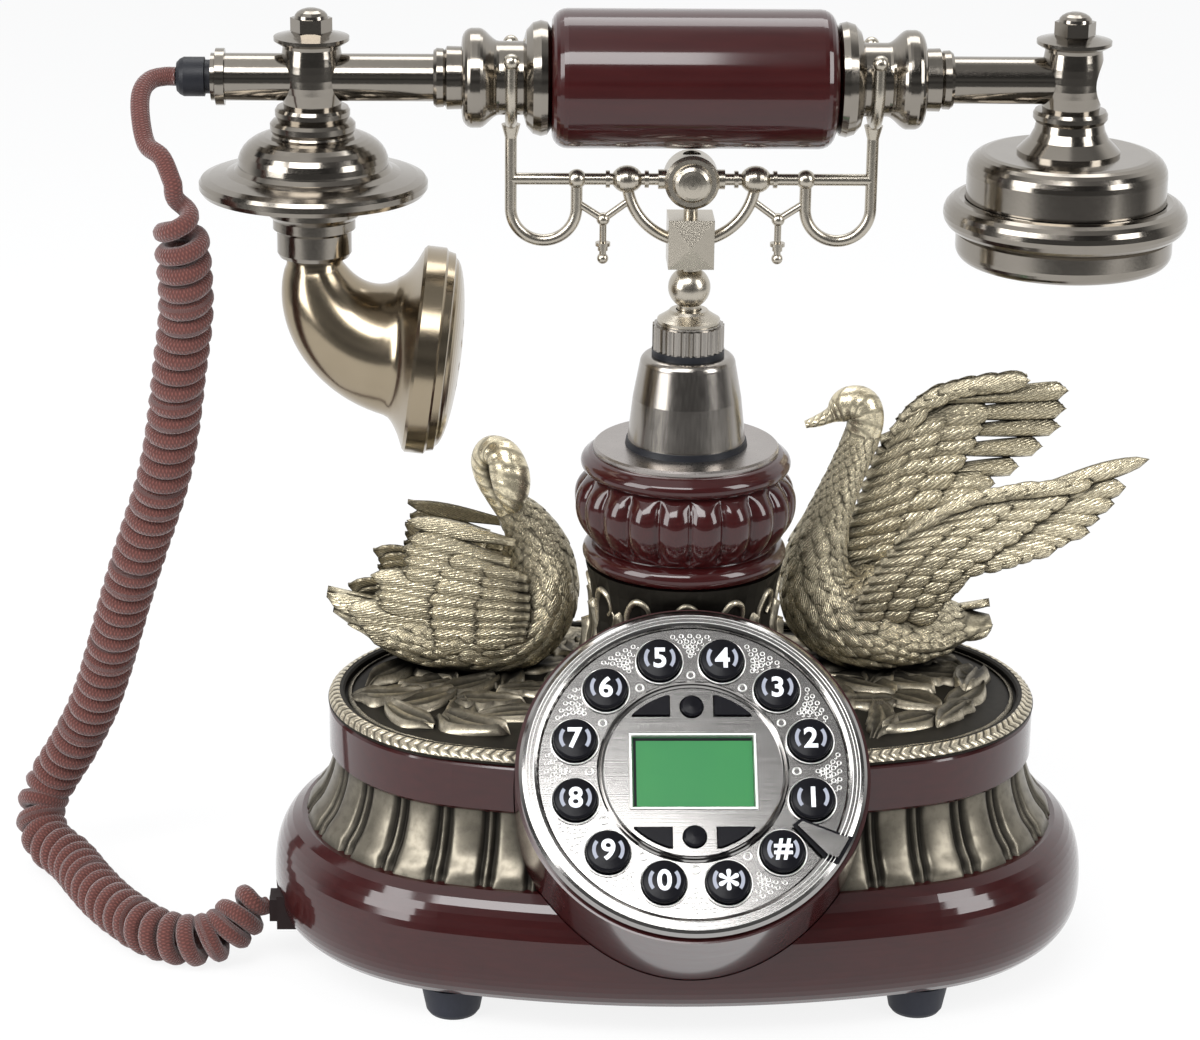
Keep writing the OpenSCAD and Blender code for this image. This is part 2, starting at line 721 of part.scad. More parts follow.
// Angle of a key from the top, clockwise; the first key is the 4
function key_angle(i) = (i + 0.5) * 360 / key_count;
function key_spot(i) = key_ring_r * [sin(key_angle(i)), cos(key_angle(i))];

module fn_segment(side, up, grow) {
    // Bounded by a circle inside the bright ring, and by the edges beside the round key and the display
    in_x = fn_r + gap + 2.6;
    out_r = inner_ring_r - 1.3;
    y0 = fn_y - 2.4;
    intersection() {
        circle(r = out_r + grow, $fn = 96);
        translate([side > 0 ? in_x - grow : -fn_edge - grow, up > 0 ? y0 - grow : -y0 - 5.2 - grow])
            square([fn_edge - in_x + 2 * grow, 5.2 + 2 * grow]);
    }
}

module dial_plate() {
    color("#b4b2ad") on_dial() difference() {
        union() {
            translate([0, 0, face_under]) cylinder(h = face_t, r = face_r, $fn = 128);
            for (i = [0:key_count - 1]) translate([key_spot(i)[0], key_spot(i)[1], face_under])
                cylinder(h = face_t + 0.35, r = key_r + gap + key_rim, $fn = 48);
        }
        for (i = [0:key_count - 1]) translate([key_spot(i)[0], key_spot(i)[1], face_under - 1])
            cylinder(h = face_t + 3, r = key_r + gap, $fn = 48);
        for (up = [-1, 1]) {
            translate([0, up * fn_y, face_under - 1]) cylinder(h = face_t + 3, r = fn_r + gap, $fn = 32);
            for (side = [-1, 1]) translate([0, 0, face_under - 1])
                linear_extrude(face_t + 3) fn_segment(side, up, gap);
        }
        translate([-lcd_w / 2 - slip, -lcd_h / 2 - slip, face_under - 1])
            cube([lcd_w + 2 * slip, lcd_h + 2 * slip, face_t + 3]);
    }
}

module inner_ring() {
    color("#c9c7c2") on_dial() translate([0, 0, face_z]) rotate_extrude($fn = 128) polygon([
        [inner_ring_r, 0], [inner_ring_r + ring_w, 0], [inner_ring_r + ring_w, 0.35],
        [inner_ring_r + 0.75 * ring_w, 0.7], [inner_ring_r + 0.5 * ring_w, 0.3],
        [inner_ring_r + 0.25 * ring_w, 0.7], [inner_ring_r, 0.35]
    ]);
}

lcd_margin = 1.6;
module keypad_mat() {
    color("#3a3a3c") on_dial() difference() {
        translate([0, 0, tray_z]) cylinder(h = mat_t, r = face_r - 1.4 - slip, $fn = 96);
        translate([-lcd_w / 2 - lcd_margin - slip, -lcd_h / 2 - lcd_margin - slip, tray_z - 1])
            cube([lcd_w + 2 * lcd_margin + 2 * slip, lcd_h + 2 * lcd_margin + 2 * slip, mat_t + 2]);
    }
}

module lcd_module() {
    color("#4f9e62") on_dial() translate([-lcd_w / 2 - lcd_margin, -lcd_h / 2 - lcd_margin, tray_z])
        cube([lcd_w + 2 * lcd_margin, lcd_h + 2 * lcd_margin, face_under - tray_z]);
}

module lcd_window() {
    color("#6fc27f") on_dial() translate([-lcd_w / 2, -lcd_h / 2, face_under])
        cube([lcd_w, lcd_h, face_t - 0.4]);
}

module finger_stop() {
    // Lies on the bezel between the 1 and the hash key, and points at the ring of keys
    stop_angle = key_angle(3) + 180 / key_count;
    color("#c9c7c2") on_dial() rotate(-stop_angle) translate([0, 0, face_under + bezel_t])
        linear_extrude(1.3) polygon([
            [-1.1, key_ring_r - 0.4], [0.4, key_ring_r - 1], [3.4, bezel_r - 4], [3, bezel_r - 1.4],
            [-3, bezel_r - 1.4], [-2.2, bezel_r - 5]
        ]);
}

// A round key with a domed head, a flange that holds it under the plate, and a stem
module round_key(r) {
    head = key_out - 0.9;
    rotate_extrude($fn = 64) polygon(concat(
        [[0, mat_top + gap + key_travel], [r * 0.45, mat_top + gap + key_travel],
         [r * 0.45, face_under - gap - 0.8], [r + 0.85, face_under - gap - 0.8],
         [r + 0.85, face_under - gap], [r, face_under - gap]],
        quarter(r - 0.9, head - 0.3, 0.9, 0.8, 0, 70, 4),
        [[r * 0.5, head + 0.75], [0, key_out - 0.05]]
    ));
}

module key(i) {
    color("#121214") on_dial() translate([key_spot(i)[0], key_spot(i)[1], 0]) round_key(key_r);
}

module fn_round_key(up) {
    color("#121214") on_dial() translate([0, up * fn_y, 0]) rotate_extrude($fn = 48) polygon([
        [0, mat_top + gap + key_travel], [fn_r * 0.6, mat_top + gap + key_travel],
        [fn_r * 0.6, face_under - gap - 0.8], [fn_r + 0.8, face_under - gap - 0.8],
        [fn_r + 0.8, face_under - gap], [fn_r, face_under - gap], [fn_r, 0.6], [fn_r - 0.5, 1],
        [0, 1.2]
    ]);
}

module fn_segment_key(side, up) {
    color("#121214") on_dial() {
        translate([0, 0, face_under - gap - 0.8]) linear_extrude(0.8) fn_segment(side, up, 0.7);
        translate([0, 0, face_under - gap]) linear_extrude(gap + face_t + 0.9) fn_segment(side, up, 0);
        translate([side * (fn_edge - 5.2), up * fn_y, mat_top + gap + key_travel])
            cylinder(h = face_under - gap - 0.8 - mat_top - gap - key_travel, r = 1.5, $fn = 32);
    }
}

// ---- cradle ----

module hook_block() {
    color("#b9b09c") {
        translate([0, 0, cap_top + 0.4 - stem_len]) cylinder(h = stem_len + 1, r = stem_r, $fn = 48);
        translate([0, 0, ball_z]) sphere(r = ball_r, $fn = 64);
        translate([0, 0, ball_z]) cylinder(h = block_z - ball_z + 1, r = ball_r * 0.5, $fn = 48);
        translate([-block_w / 2, -block_w / 2, block_z]) cube([block_w, block_w, block_h]);
        for (side = [0, 180]) translate([0, 0, block_z + block_h / 2]) rotate(side)
            translate([0, -block_w / 2, 0]) block_pyramid();
    }
}

// A low pyramid over the block's face, pointing along -Y
module block_pyramid() {
    w = block_w / 2;
    h = block_h / 2;
    polyhedron([[-w, eps, -h], [w, eps, -h], [w, eps, h], [-w, eps, h], [0, -pyramid_h, 0]],
               [[0, 1, 2, 3], [1, 0, 4], [2, 1, 4], [3, 2, 4], [0, 3, 4]]);
}

module hook_hub() {
    dome = 2;
    screw_r = 2.3;
    color("#b9b09c") {
        difference() {
            translate([0, 0, bar_z]) rotate([90, 0, 0]) rotate_extrude($fn = 96) polygon(concat(
                [[0, -hub_len / 2], [hub_r - 0.6, -hub_len / 2], [hub_r, -hub_len / 2 + 0.6],
                 [hub_r, hub_len / 2 - 0.8], [hub_r - 0.8, hub_len / 2], [hub_r - 1.9, hub_len / 2]],
                [for (i = [1:6]) let (a = i * 15)
                    [(hub_r - 1.9) * cos(a), hub_len / 2 + dome * sin(a)]]
            ));
            translate([0, 0, bar_z + hub_r - 4]) cylinder(h = 6, r = screw_r, $fn = 32);
        }
        difference() {
            translate([0, 0, block_z + block_h]) cylinder(h = bar_z - block_z - block_h, r = 1.8, $fn = 32);
            translate([0, hub_len, bar_z]) rotate([90, 0, 0])
                cylinder(h = 2 * hub_len, r = hub_r - 1, $fn = 96);
        }
    }
}

// Half of the cradle, on the +X side: fork, post, loop, crossbar, bow and pendant
module cradle_half() {
    r = rod_d / 2;
    fork_r = seat_r + gap + r + 0.1;
    loop_r = (fork_x - loop_x) / 2;
    loop_z = bar_z - loop_drop + loop_r;
    drop_x = (loop_x + bow_r) / 2 - 0.4;
    drop_z = bar_z - 10.4;
    difference() {
        union() {
            // Fork: a half ring under the handset, two prongs and their tips
            translate([fork_x, 0, axis_z]) {
                rotate([0, 90, 0]) rotate([0, 0, -90]) rotate_extrude(angle = 180, $fn = 96)
                    translate([fork_r, 0]) circle(r = r, $fn = 32);
                for (side = [-1, 1]) translate([0, side * fork_r, 0]) {
                    cylinder(h = prong_h, r = r, $fn = 32);
                    translate([0, side * (gap + 0.1), prong_h]) sphere(r = r + 0.5, $fn = 32);
                }
            }
            translate([fork_x, 0, axis_z - fork_r - 4]) cylinder(h = 3.4, r1 = r, r2 = r + 0.9, $fn = 32);
            // Post, loop and inner leg
            translate([fork_x, 0, loop_z]) cylinder(h = axis_z - fork_r - loop_z, r = r, $fn = 32);
            translate([(fork_x + loop_x) / 2, 0, loop_z]) rotate([90, 0, 0]) rotate(180)
                rotate_extrude(angle = 180, $fn = 96) translate([loop_r, 0]) circle(r = r, $fn = 32);
            translate([loop_x, 0, loop_z]) cylinder(h = bar_z - loop_z, r = r, $fn = 32);
            translate([loop_x, 0, bar_z]) sphere(r = r + 1, $fn = 48);
            // Crossbar with its turned ball and rings
            translate([0, 0, bar_z]) rotate([0, 90, 0]) {
                cylinder(h = fork_x, r = r, $fn = 32);
                translate([0, 0, hub_r - 0.4]) cylinder(h = 1.9, r = r + 1, $fn = 32);
                for (x = [-1, 1]) translate([0, 0, bow_r + x * 4.9 - 0.5])
                    cylinder(h = 1, r = r + 0.7, $fn = 32);
                translate([0, 0, bow_r]) rotate_extrude($fn = 48) polygon(concat(
                    [[0, -4.3]], quarter(0, 0, 3.5, 4, -70, 70, 10), [[0, 4.3]]
                ));
            }
            // Bow from the ball to the block
            translate([0, 0, bar_z]) rotate([90, 0, 0]) rotate(-76)
                rotate_extrude(angle = 76, $fn = 96) translate([bow_r, 0]) circle(r = r, $fn = 32);
            // Pendant between the loop and the bow
            translate([drop_x, 0, drop_z]) sphere(r = 1.7, $fn = 32);
            rod([drop_x, 0, drop_z], [loop_x, 0, drop_z + 4.4], 0.95);
            rod([drop_x, 0, drop_z], [bow_r - 0.6, 0, drop_z + 4.9], 0.95);
            translate([drop_x, 0, drop_z - 10.2]) cylinder(h = 10.2, r = 0.9, $fn = 24);
            translate([drop_x, 0, drop_z - 6.9]) cylinder(h = 0.9, r = 1.9, $fn = 24);
            translate([drop_x, 0, drop_z - 8.1]) cylinder(h = 1.2, r = 1.3, $fn = 24);
            translate([drop_x, 0, drop_z - 10.2]) sphere(r = 1.45, $fn = 32);
        }
        translate([0, hub_len, bar_z]) rotate([90, 0, 0]) cylinder(h = 2 * hub_len, r = hub_r, $fn = 96);
        translate([-block_w, -block_w / 2 - 1, block_z - 1])
            cube([block_w * 1.5, block_w + 2, block_h + 2]);
    }
}

module cradle_left() { color("#b9b09c") mirror([1, 0, 0]) cradle_half(); }
module cradle_right() { color("#b9b09c") cradle_half(); }

// ---- handset ----

grip_end = grip_len / 2;
seat_from = fork_x - 3;
seat_to = fork_x + 3;

module grip() {
    round = 4;
    color("#5a1512") on_handset() rotate([0, 90, 0]) rotate_extrude($fn = 96) polygon(concat(
        [[0, -grip_end]],
        quarter(grip_r - round, round - grip_end, round, round, -90, 0, 6),
        quarter(grip_r - round, grip_end - round, round, round, 0, 90, 6),
        [[0, grip_end]]
    ));
}

// The turned metal end from the grip outwards along +X, up to the length given
module spindle(end, has_ring) {
    bulb_x = seat_to + 5.5;
    ring_x = seat_to + 13.5;
    rotate([0, 90, 0]) rotate_extrude($fn = 96) polygon(concat(
        [[0, grip_end], [grip_r - 5, grip_end], [grip_r - 3.4, grip_end + 1],
         [grip_r - 3, grip_end + 2.6], [grip_r - 3.6, grip_end + 4.6], [grip_r - 5.4, seat_from - 0.8],
         [seat_r, seat_from], [seat_r, seat_to]],
        [for (i = [0:10]) let (s = i / 10)
            [seat_r + (bulb_r - seat_r) * smooth(min(1, s * 1.35)) * (s < 0.74 ? 1 : 1),
             lerp(seat_to, bulb_x + 1.2, s)]],
        quarter(bulb_r - 3.2, bulb_x + 1.2, 3.2, 2.6, 10, 90, 5),
        [[tube_r + 1.9, bulb_x + 4], [tube_r + 2, ring_x - 0.5], [tube_r + 1, ring_x],
         [tube_r + 1.4, ring_x + 0.4], [tube_r + 1.5, ring_x + 2], [tube_r + 0.9, ring_x + 2.8],
         [tube_r, ring_x + 2.9]],
        has_ring
            ? [[tube_r, end - 3.6], [tube_r + 1.2, end - 3.4], [tube_r + 1.2, end - 1.2],
               [tube_r, end - 0.9], [tube_r, end], [0, end]]
            : [[tube_r, end], [0, end]]
    ));
}

module spindle_left() {
    color("#8b8578") on_handset() mirror([1, 0, 0]) spindle(hub_x + tail_len + 3.5, true);
}
module spindle_right() { color("#8b8578") on_handset() spindle(hub_x + 4, false); }

// The upright barrel round the tube, with its flange and cap nut, down to the ring under it
module barrel(foot) {
    difference() {
        union() {
            rotate_extrude($fn = 96) polygon(concat(
                [[0, 11.6], [4.6, 11.6], [7, 10.9], [9.4, 10.3], [9.4, 9.4], [8.6, 8.8], [7.3, 8.4]],
                [for (i = [0:8]) let (s = i / 8)
                    [barrel_r - 0.7 + 0.7 * sin(180 * s), lerp(7.6, -7.2, s)]],
                [[8.9, -7.4], [9.4, -8.2], [9.4, -9.4], [8.9, -10.2]],
                foot
            ));
            translate([0, 0, 11.6]) cylinder(h = 3.4, r = 5.2, $fn = 6);
            translate([0, 0, 15]) rotate_extrude($fn = 48) polygon(concat(
                [[0, -0.5], [4.2, -0.5]], quarter(0, 0, 4.2, 2.4, 0, 90, 5)
            ));
        }
        rotate([0, 90, 0]) translate([0, 0, -20])
            cylinder(h = 40, r = tube_r + slip / 2, $fn = 64);
    }
}

mouth_top = -13.9;
module mouth_hub() {
    color("#8b8578") on_handset() translate([-hub_x, 0, 0])
        barrel([[10, -10.8], [10.7, mouth_top + 2.3], [10.7, mouth_top + 0.9], [10.2, mouth_top],
                [0, mouth_top]]);
}

disc_under = -29;
horn_start = -45.7;
module mouth_cup() {
    color("#77705f") on_handset() translate([-hub_x, 0, 0]) rotate_extrude($fn = 128) polygon(concat(
        [[0, mouth_top], [10.2, mouth_top]],
        quarter(mouth_dome_r - 8.7, -21.6, 8.7, 7.2, 88, 0, 8),
        [[mouth_dome_r, -22.2], [mouth_dome_r + 0.9, -23.2], [mouth_dome_r + 3, -24],
         [mouth_disc_r - 2.6, -24.8], [mouth_disc_r - 0.6, -25.5], [mouth_disc_r, -26.4],
         [mouth_disc_r, -27.8], [mouth_disc_r - 0.8, disc_under], [12.6, disc_under],
         [11.9, disc_under - 1], [11.9, -34.5], [10.4, -36], [10.4, -38.4], [9.4, -39.2],
         [9.4, -44.6], [8.8, horn_start], [0, horn_start]]
    ));
}

// The bent horn: from the collar down and round towards +X
horn_tilt = 7;
horn_mid = [-hub_x + horn_bend, 0, horn_start - 2];
function horn_r(s) = lerp(horn_r1, horn_r2, pow(s, 0.85));
module horn() {
    steps = 9;
    sweep_angle = 90 - horn_tilt;
    c = horn_mid;
    bend = [for (i = [0:steps]) let (s = i / steps, a = 180 + sweep_angle * s)
        [c[0] + horn_bend * cos(a), 0, c[2] + horn_bend * sin(a), horn_r(s), horn_r(s)]];
    out = [cos(horn_tilt), 0, -sin(horn_tilt)];
    e = [bend[steps][0], 0, bend[steps][2]];
    flare = [for (f = [[2.2, horn_r2 + 1.6], [4.2, horn_r2 + 4.6], [5.4, horn_ring_r - 1]])
        let (p = e + out * f[0]) [p[0], 0, p[2], f[1], f[1]]];
    start = [[-hub_x, 0, horn_start, horn_r1, horn_r1]];
    color("#8a8168") on_handset() loft(concat(start, bend, flare), 32);
}

horn_end = horn_mid
    + [horn_bend * cos(270 - horn_tilt), 0, horn_bend * sin(270 - horn_tilt)]
    + 5.4 * [cos(horn_tilt), 0, -sin(horn_tilt)];
module horn_cap() {
    dome = 4.4;
    skin = 1.8;
    color("#8a8168") on_handset() translate(horn_end) rotate([0, 90 + horn_tilt, 0]) difference() {
        rotate_extrude($fn = 128) polygon(concat(
            [[0, 0], [horn_ring_r - 0.8, 0], [horn_ring_r, 0.8], [horn_ring_r, horn_ring_w - 2.4],
             [horn_ring_r - 0.8, horn_ring_w - 1.8], [horn_ring_r - 1.2, horn_ring_w]],
            quarter(0, horn_ring_w, horn_ring_r - 2.2, dome, 5, 90, 10),
            quarter(0, horn_ring_w - skin, horn_ring_r - 4.6, dome, 90, 5, 8),
            [[horn_ring_r - 4.6, skin], [0, skin]]
        ));
        for (ring = [1:2], k = [0:6 * ring - 1]) rotate(60 * k / ring)
            translate([5.6 * ring, 0, horn_ring_w - skin]) cylinder(h = 10, r = 1.1, $fn = 24);
        translate([0, 0, horn_ring_w - skin]) cylinder(h = 10, r = 1.1, $fn = 24);
    }
}

ear_top = -18.4;
module ear_hub() {
    color("#8b8578") on_handset() translate([hub_x, 0, 0])
        barrel([[8.5, -10.5], [8.9, ear_top + 6], [10, ear_top + 3.8], [12, ear_top + 1.8],
                [13, ear_top + 0.8], [13, ear_top], [0, ear_top]]);
}

ring_z = ear_top - bell_h;
ring_r = 4.2;
module ear_bell() {
    color("#7d7666") on_handset() translate([hub_x, 0, 0]) rotate_extrude($fn = 128) polygon(concat(
        [[0, ear_top], [bell_r - 5, ear_top]],
        quarter(bell_r - 5, ear_top - 5, 5, 5, 85, 0, 6),
        [[bell_r, ring_z + ring_r]],
        quarter(ear_ring_r - ring_r, ring_z, ring_r, ring_r, 120, -90, 12),
        [[bell_r - 3, ring_z - ring_r], [bell_r - 3, ear_top - 5], [bell_r - 6, ear_top - 3],
         [0, ear_top - 3]]
    ));
}

module ear_cap() {
    top = ring_z - ring_r;
    under = ring_z - ear_cup_h;
    color("#7d7666") on_handset() translate([hub_x, 0, 0]) difference() {
        rotate_extrude($fn = 128) polygon(concat(
            [[0, top], [ear_cup_r - 0.6, top]],
            [[ear_cup_r, top - 0.6]],
            quarter(ear_cup_r - 3.4, under + 3.4, 3.4, 3.4, 0, -90, 6),
            [[ear_cup_r - 6, under + 0.3], [8, under + 2.4], [0, under + 2.6]]
        ));
        for (k = [0:5]) rotate(60 * k) translate([5, 0, under - 1]) cylinder(h = 7, r = 1, $fn = 24);
        translate([0, 0, under - 1]) cylinder(h = 7, r = 1, $fn = 24);
    }
}

// ---- cord ----

gland_len = 8.5;
gland_x = -hub_x - tail_len - 3.5 - gland_len;

// Middle line of the straight stretch, from the gland to the curls
cord_tail_route = [
    [-129, 0, 0], [-131.5, 0, 0], [-134.8, -1.6, -0.6], [-137, -5, -3], [-137, -9, -8],
    [-135.3, -13.5, -14], [-131.4, -19.5, -21]
];
// Middle line of the curls: down from the handset, and along the floor to the base
cord_curl_route = [
    [-128.5, -19.5, 213], [-126.8, -19, 198], [-126.6, -14.5, 180], [-129.2, -8.5, 162], [-131.8, -2.5, 145],
    [-135.5, 4, 128], [-141.3, 12, 110], [-147, 20, 92], [-152.5, 29, 73], [-158.4, 38, 54],
    [-166, 46, 37], [-173, 52, 24], [-176.5, 49.5, 15.5], [-174, 43, 9], [-166, 32, 7.6],
    [-157.7, 14, 7.4], [-150, 0.5, 7.4], [-140, -12.5, 7.4], [-130, -18, 7.5], [-121.5, -17.5, 9.2],
    [-115.5, -14.6, 14], [-111.5, socket_y, socket_z], [-108.8, socket_y, socket_z]
];

module cord_gland() {
    color("#20242c") on_handset() translate([gland_x, 0, 0]) rotate([0, 90, 0])
        rotate_extrude($fn = 64) polygon([
            [0, 0], [3.6, 0], [4.4, 0.8], [4.9, 1.8], [4.9, gland_len - 1.6],
            [4.2, gland_len - 1.4], [4.2, gland_len], [0, gland_len]
        ]);
}

module cord_tail() {
    first = [gland_x - gap, 0, 0];
    color("#6b2e28") on_handset() loft([for (i = [0:len(cord_tail_route) - 1])
        let (p = i == 0 ? first : cord_tail_route[i]) [p[0], p[1], p[2], cord_d / 2, cord_d / 2]], 8);
}

module cord_curl() {
    color("#6b2e28") loft([for (p = cord_curl_route)
        [p[0], p[1], p[2], curl_d / 2, curl_d / 2]], 12);
}

module cord_plug() {
    nose = 2;
    last = cord_curl_route[len(cord_curl_route) - 1];
    color("#202022") at_handset_jack() {
        translate([jack_wall + 1, -plug_w / 2, -plug_h / 2])
            cube([jack_len + nose - jack_wall - 1, plug_w, plug_h]);
        translate([jack_len + nose - 1, 0, 0]) rotate([0, 90, 0])
            cylinder(h = 1 - nose - jack_out - last[0], r = cord_d / 2, $fn = 32);
    }
}

module place() { translate([place_x, place_y, 0]) children(); }

place() base_shell();
place() bottom_plate();
place() rubber_feet();
place() fluted_band();
place() wood_band();
place() top_plate();
place() left_swan();
place() right_swan();
place() leaf_neck();
place() pedestal_bowl();
place() engraved_disc();
place() seal_rings();
place() cone();
place() knurled_collar();
place() collar_cap();
place() jack_sockets();
place() dial_housing();
place() dial_bezel();
place() dial_plate();
place() inner_ring();
place() keypad_mat();
place() lcd_module();
place() lcd_window();
place() finger_stop();
place() key(0);  // key_4
place() key(1);  // key_3
place() key(2);  // key_2
place() key(3);  // key_1
place() key(4);  // key_hash
place() key(5);  // key_star
place() key(6);  // key_0
place() key(7);  // key_9
place() key(8);  // key_8
place() key(9);  // key_7
place() key(10);  // key_6
place() key(11);  // key_5
place() fn_segment_key(-1, 1);  // fn_top_left
place() fn_round_key(1);  // fn_top_middle
place() fn_segment_key(1, 1);  // fn_top_right
place() fn_segment_key(-1, -1);  // fn_low_left
place() fn_round_key(-1);  // fn_low_middle
place() fn_segment_key(1, -1);  // fn_low_right
place() hook_block();
place() hook_hub();
place() cradle_left();
place() cradle_right();
place() grip();
place() spindle_left();
place() spindle_right();
place() mouth_hub();
place() mouth_cup();
place() horn();
place() horn_cap();
place() ear_hub();
place() ear_bell();
place() ear_cap();
place() cord_gland();
place() cord_tail();
place() cord_curl();
place() cord_plug();
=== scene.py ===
"""Dresses the cradle telephone: camera, cord, materials, cast and turned ornament, studio."""
import json
import math
import random

import bpy
from mathutils import Matrix, Vector, noise


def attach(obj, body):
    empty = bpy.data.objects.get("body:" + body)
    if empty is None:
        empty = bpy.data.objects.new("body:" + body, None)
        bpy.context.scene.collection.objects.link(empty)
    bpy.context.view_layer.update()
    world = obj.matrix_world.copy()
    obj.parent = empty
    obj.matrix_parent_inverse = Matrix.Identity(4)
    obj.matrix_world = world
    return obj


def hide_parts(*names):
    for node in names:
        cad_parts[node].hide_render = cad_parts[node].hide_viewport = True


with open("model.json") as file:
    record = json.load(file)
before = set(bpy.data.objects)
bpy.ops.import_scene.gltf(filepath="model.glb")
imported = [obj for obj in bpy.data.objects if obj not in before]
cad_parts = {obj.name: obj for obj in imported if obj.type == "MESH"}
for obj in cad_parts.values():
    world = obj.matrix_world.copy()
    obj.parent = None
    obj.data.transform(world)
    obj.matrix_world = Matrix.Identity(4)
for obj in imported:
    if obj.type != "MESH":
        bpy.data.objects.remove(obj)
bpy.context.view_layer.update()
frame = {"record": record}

# The pedestal's axis stands at this place in the frame, in millimetres
PX, PY = 1.325, 10.9685


def P(x, y, z):
    """The frame's place, in metres, of a point given from the pedestal's axis in millimetres."""
    return Vector(((x + PX) / 1000, (y + PY) / 1000, z / 1000))


def rad(a):
    return math.radians(a)


def lerp(a, b, t):
    return a + (b - a) * t


def smooth(t):
    t = max(0.0, min(1.0, t))
    return t * t * (3 - 2 * t)


# ---------------------------------------------------------------- camera
def add_camera():
    el, az, roll, distance = rad(19.2), rad(-2.0), rad(0.7), 0.936
    back = Vector((math.sin(az) * math.cos(el), -math.cos(az) * math.cos(el), math.sin(el)))
    right = Vector((math.cos(az), math.sin(az), 0))
    up = back.cross(right)
    right, up = (right * math.cos(roll) + up * math.sin(roll),
                 up * math.cos(roll) - right * math.sin(roll))
    data = bpy.data.cameras.new("camera")
    data.lens, data.sensor_width, data.sensor_fit = 108.0, 36.0, "HORIZONTAL"
    data.clip_start, data.clip_end = 0.05, 50
    cam = bpy.data.objects.new("camera", data)
    bpy.context.scene.collection.objects.link(cam)
    place = P(-22, 0, 119) + back * distance
    rot = Matrix((right, up, back)).transposed().to_4x4()
    cam.matrix_world = Matrix.Translation(place) @ rot
    bpy.context.scene.camera = cam


add_camera()


# ---------------------------------------------------------------- meshes
def new_mesh(name, verts, faces, uvs=None, tone=None):
    """Object from points in millimetres; uvs and tone, read by the materials, are per point."""
    me = bpy.data.meshes.new(name)
    me.from_pydata([P(*v) for v in verts], [], faces)
    if uvs:
        layer = me.uv_layers.new(name="UVMap")
        for loop in me.loops:
            layer.data[loop.index].uv = uvs[loop.vertex_index]
    if tone:
        at = me.attributes.new("tone", "FLOAT", "POINT")
        at.data.foreach_set("value", tone)
    me.polygons.foreach_set("use_smooth", [True] * len(me.polygons))
    me.update()
    ob = bpy.data.objects.new(name, me)
    bpy.context.scene.collection.objects.link(ob)
    return ob


def grid_faces(nu, nv, wrap_u=False, wrap_v=False, base=0):
    """Faces of a grid whose point (i, j) is number base + i * nv + j."""
    out = []
    for i in range(nu if wrap_u else nu - 1):
        for j in range(nv if wrap_v else nv - 1):
            a, b = i * nv + j, ((i + 1) % nu) * nv + j
            c, d = ((i + 1) % nu) * nv + (j + 1) % nv, i * nv + (j + 1) % nv
            out.append((base + a, base + b, base + c, base + d))
    return out


def dress(ob, mat, body, *replaced):
    """Gives a piece its material and its body, and hides the nodes that it replaces."""
    ob.data.materials.clear()
    ob.data.materials.append(mat)
    if replaced:
        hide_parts(*replaced)
    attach(ob, body)
    return ob


def spline(points, per):
    """Catmull-Rom points through a list of tuples, with per steps between two of them."""
    pts = [Vector(p) for p in points]
    pts = [pts[0] * 2 - pts[1]] + pts + [pts[-1] * 2 - pts[-2]]
    out = []
    for i in range(1, len(pts) - 2):
        a, b, c, d = pts[i - 1:i + 3]
        for k in range(per):
            t = k / per
            out.append(0.5 * (2 * b + (c - a) * t + (2 * a - 5 * b + 4 * c - d) * t * t
                              + (3 * b - a - 3 * c + d) * t ** 3))
    out.append(pts[-2])
    return out


def resample(points, step):
    """Points a fixed step apart along a polyline."""
    out, left = [points[0]], step
    for a, b in zip(points, points[1:]):
        d = (b - a).length
        while d >= left:
            a = a + (b - a) * (left / d)
            d = (b - a).length
            out.append(a)
            left = step
        left -= d
    return out


def frames(points):
    """Tangent, side and normal along a path, carried without twist."""
    tang = [(points[min(i + 1, len(points) - 1)] - points[max(i - 1, 0)]).normalized()
            for i in range(len(points))]
    side = tang[0].cross(Vector((0, 1, 0))).normalized()
    out = []
    for t in tang:
        side = (side - t * side.dot(t)).normalized()
        out.append((t, side, t.cross(side)))
    return out


# ---------------------------------------------------------------- cord
CORD_D, CURL_D = 4.8, 14.4
CURL_PITCH, STRAIGHT_PITCH = 5.0, 18.0
CENTRE_STEP, CORD_STEP = 0.3, 1.1
AXIS_Z = 235.6  # the handset's axis over the floor
TAIL = [(-128.8, 0, 0), (-131.5, 0, 0), (-134.8, -1.6, -0.6), (-137, -5, -3), (-137, -9, -8),
        (-135.3, -13.5, -14), (-131.4, -19.5, -21)]
CURLS = [(-128.5, -19.5, 213), (-126.8, -19, 198), (-126.6, -14.5, 180), (-129.2, -8.5, 162),
         (-131.8, -2.5, 145), (-135.5, 4, 128), (-141.3, 12, 110), (-147, 20, 92), (-152.5, 29, 73),
         (-158.4, 38, 54), (-166, 46, 37), (-173, 52, 24), (-176.5, 49.5, 15.5), (-174, 43, 9),
         (-166, 32, 7.6), (-157.7, 14, 7.4), (-150, 0.5, 7.4), (-140, -12.5, 7.4), (-130, -18, 7.5),
         (-121.5, -17.5, 9.2), (-115.5, -14.6, 14), (-111.5, -14, 15.9), (-108.8, -14, 15.9)]


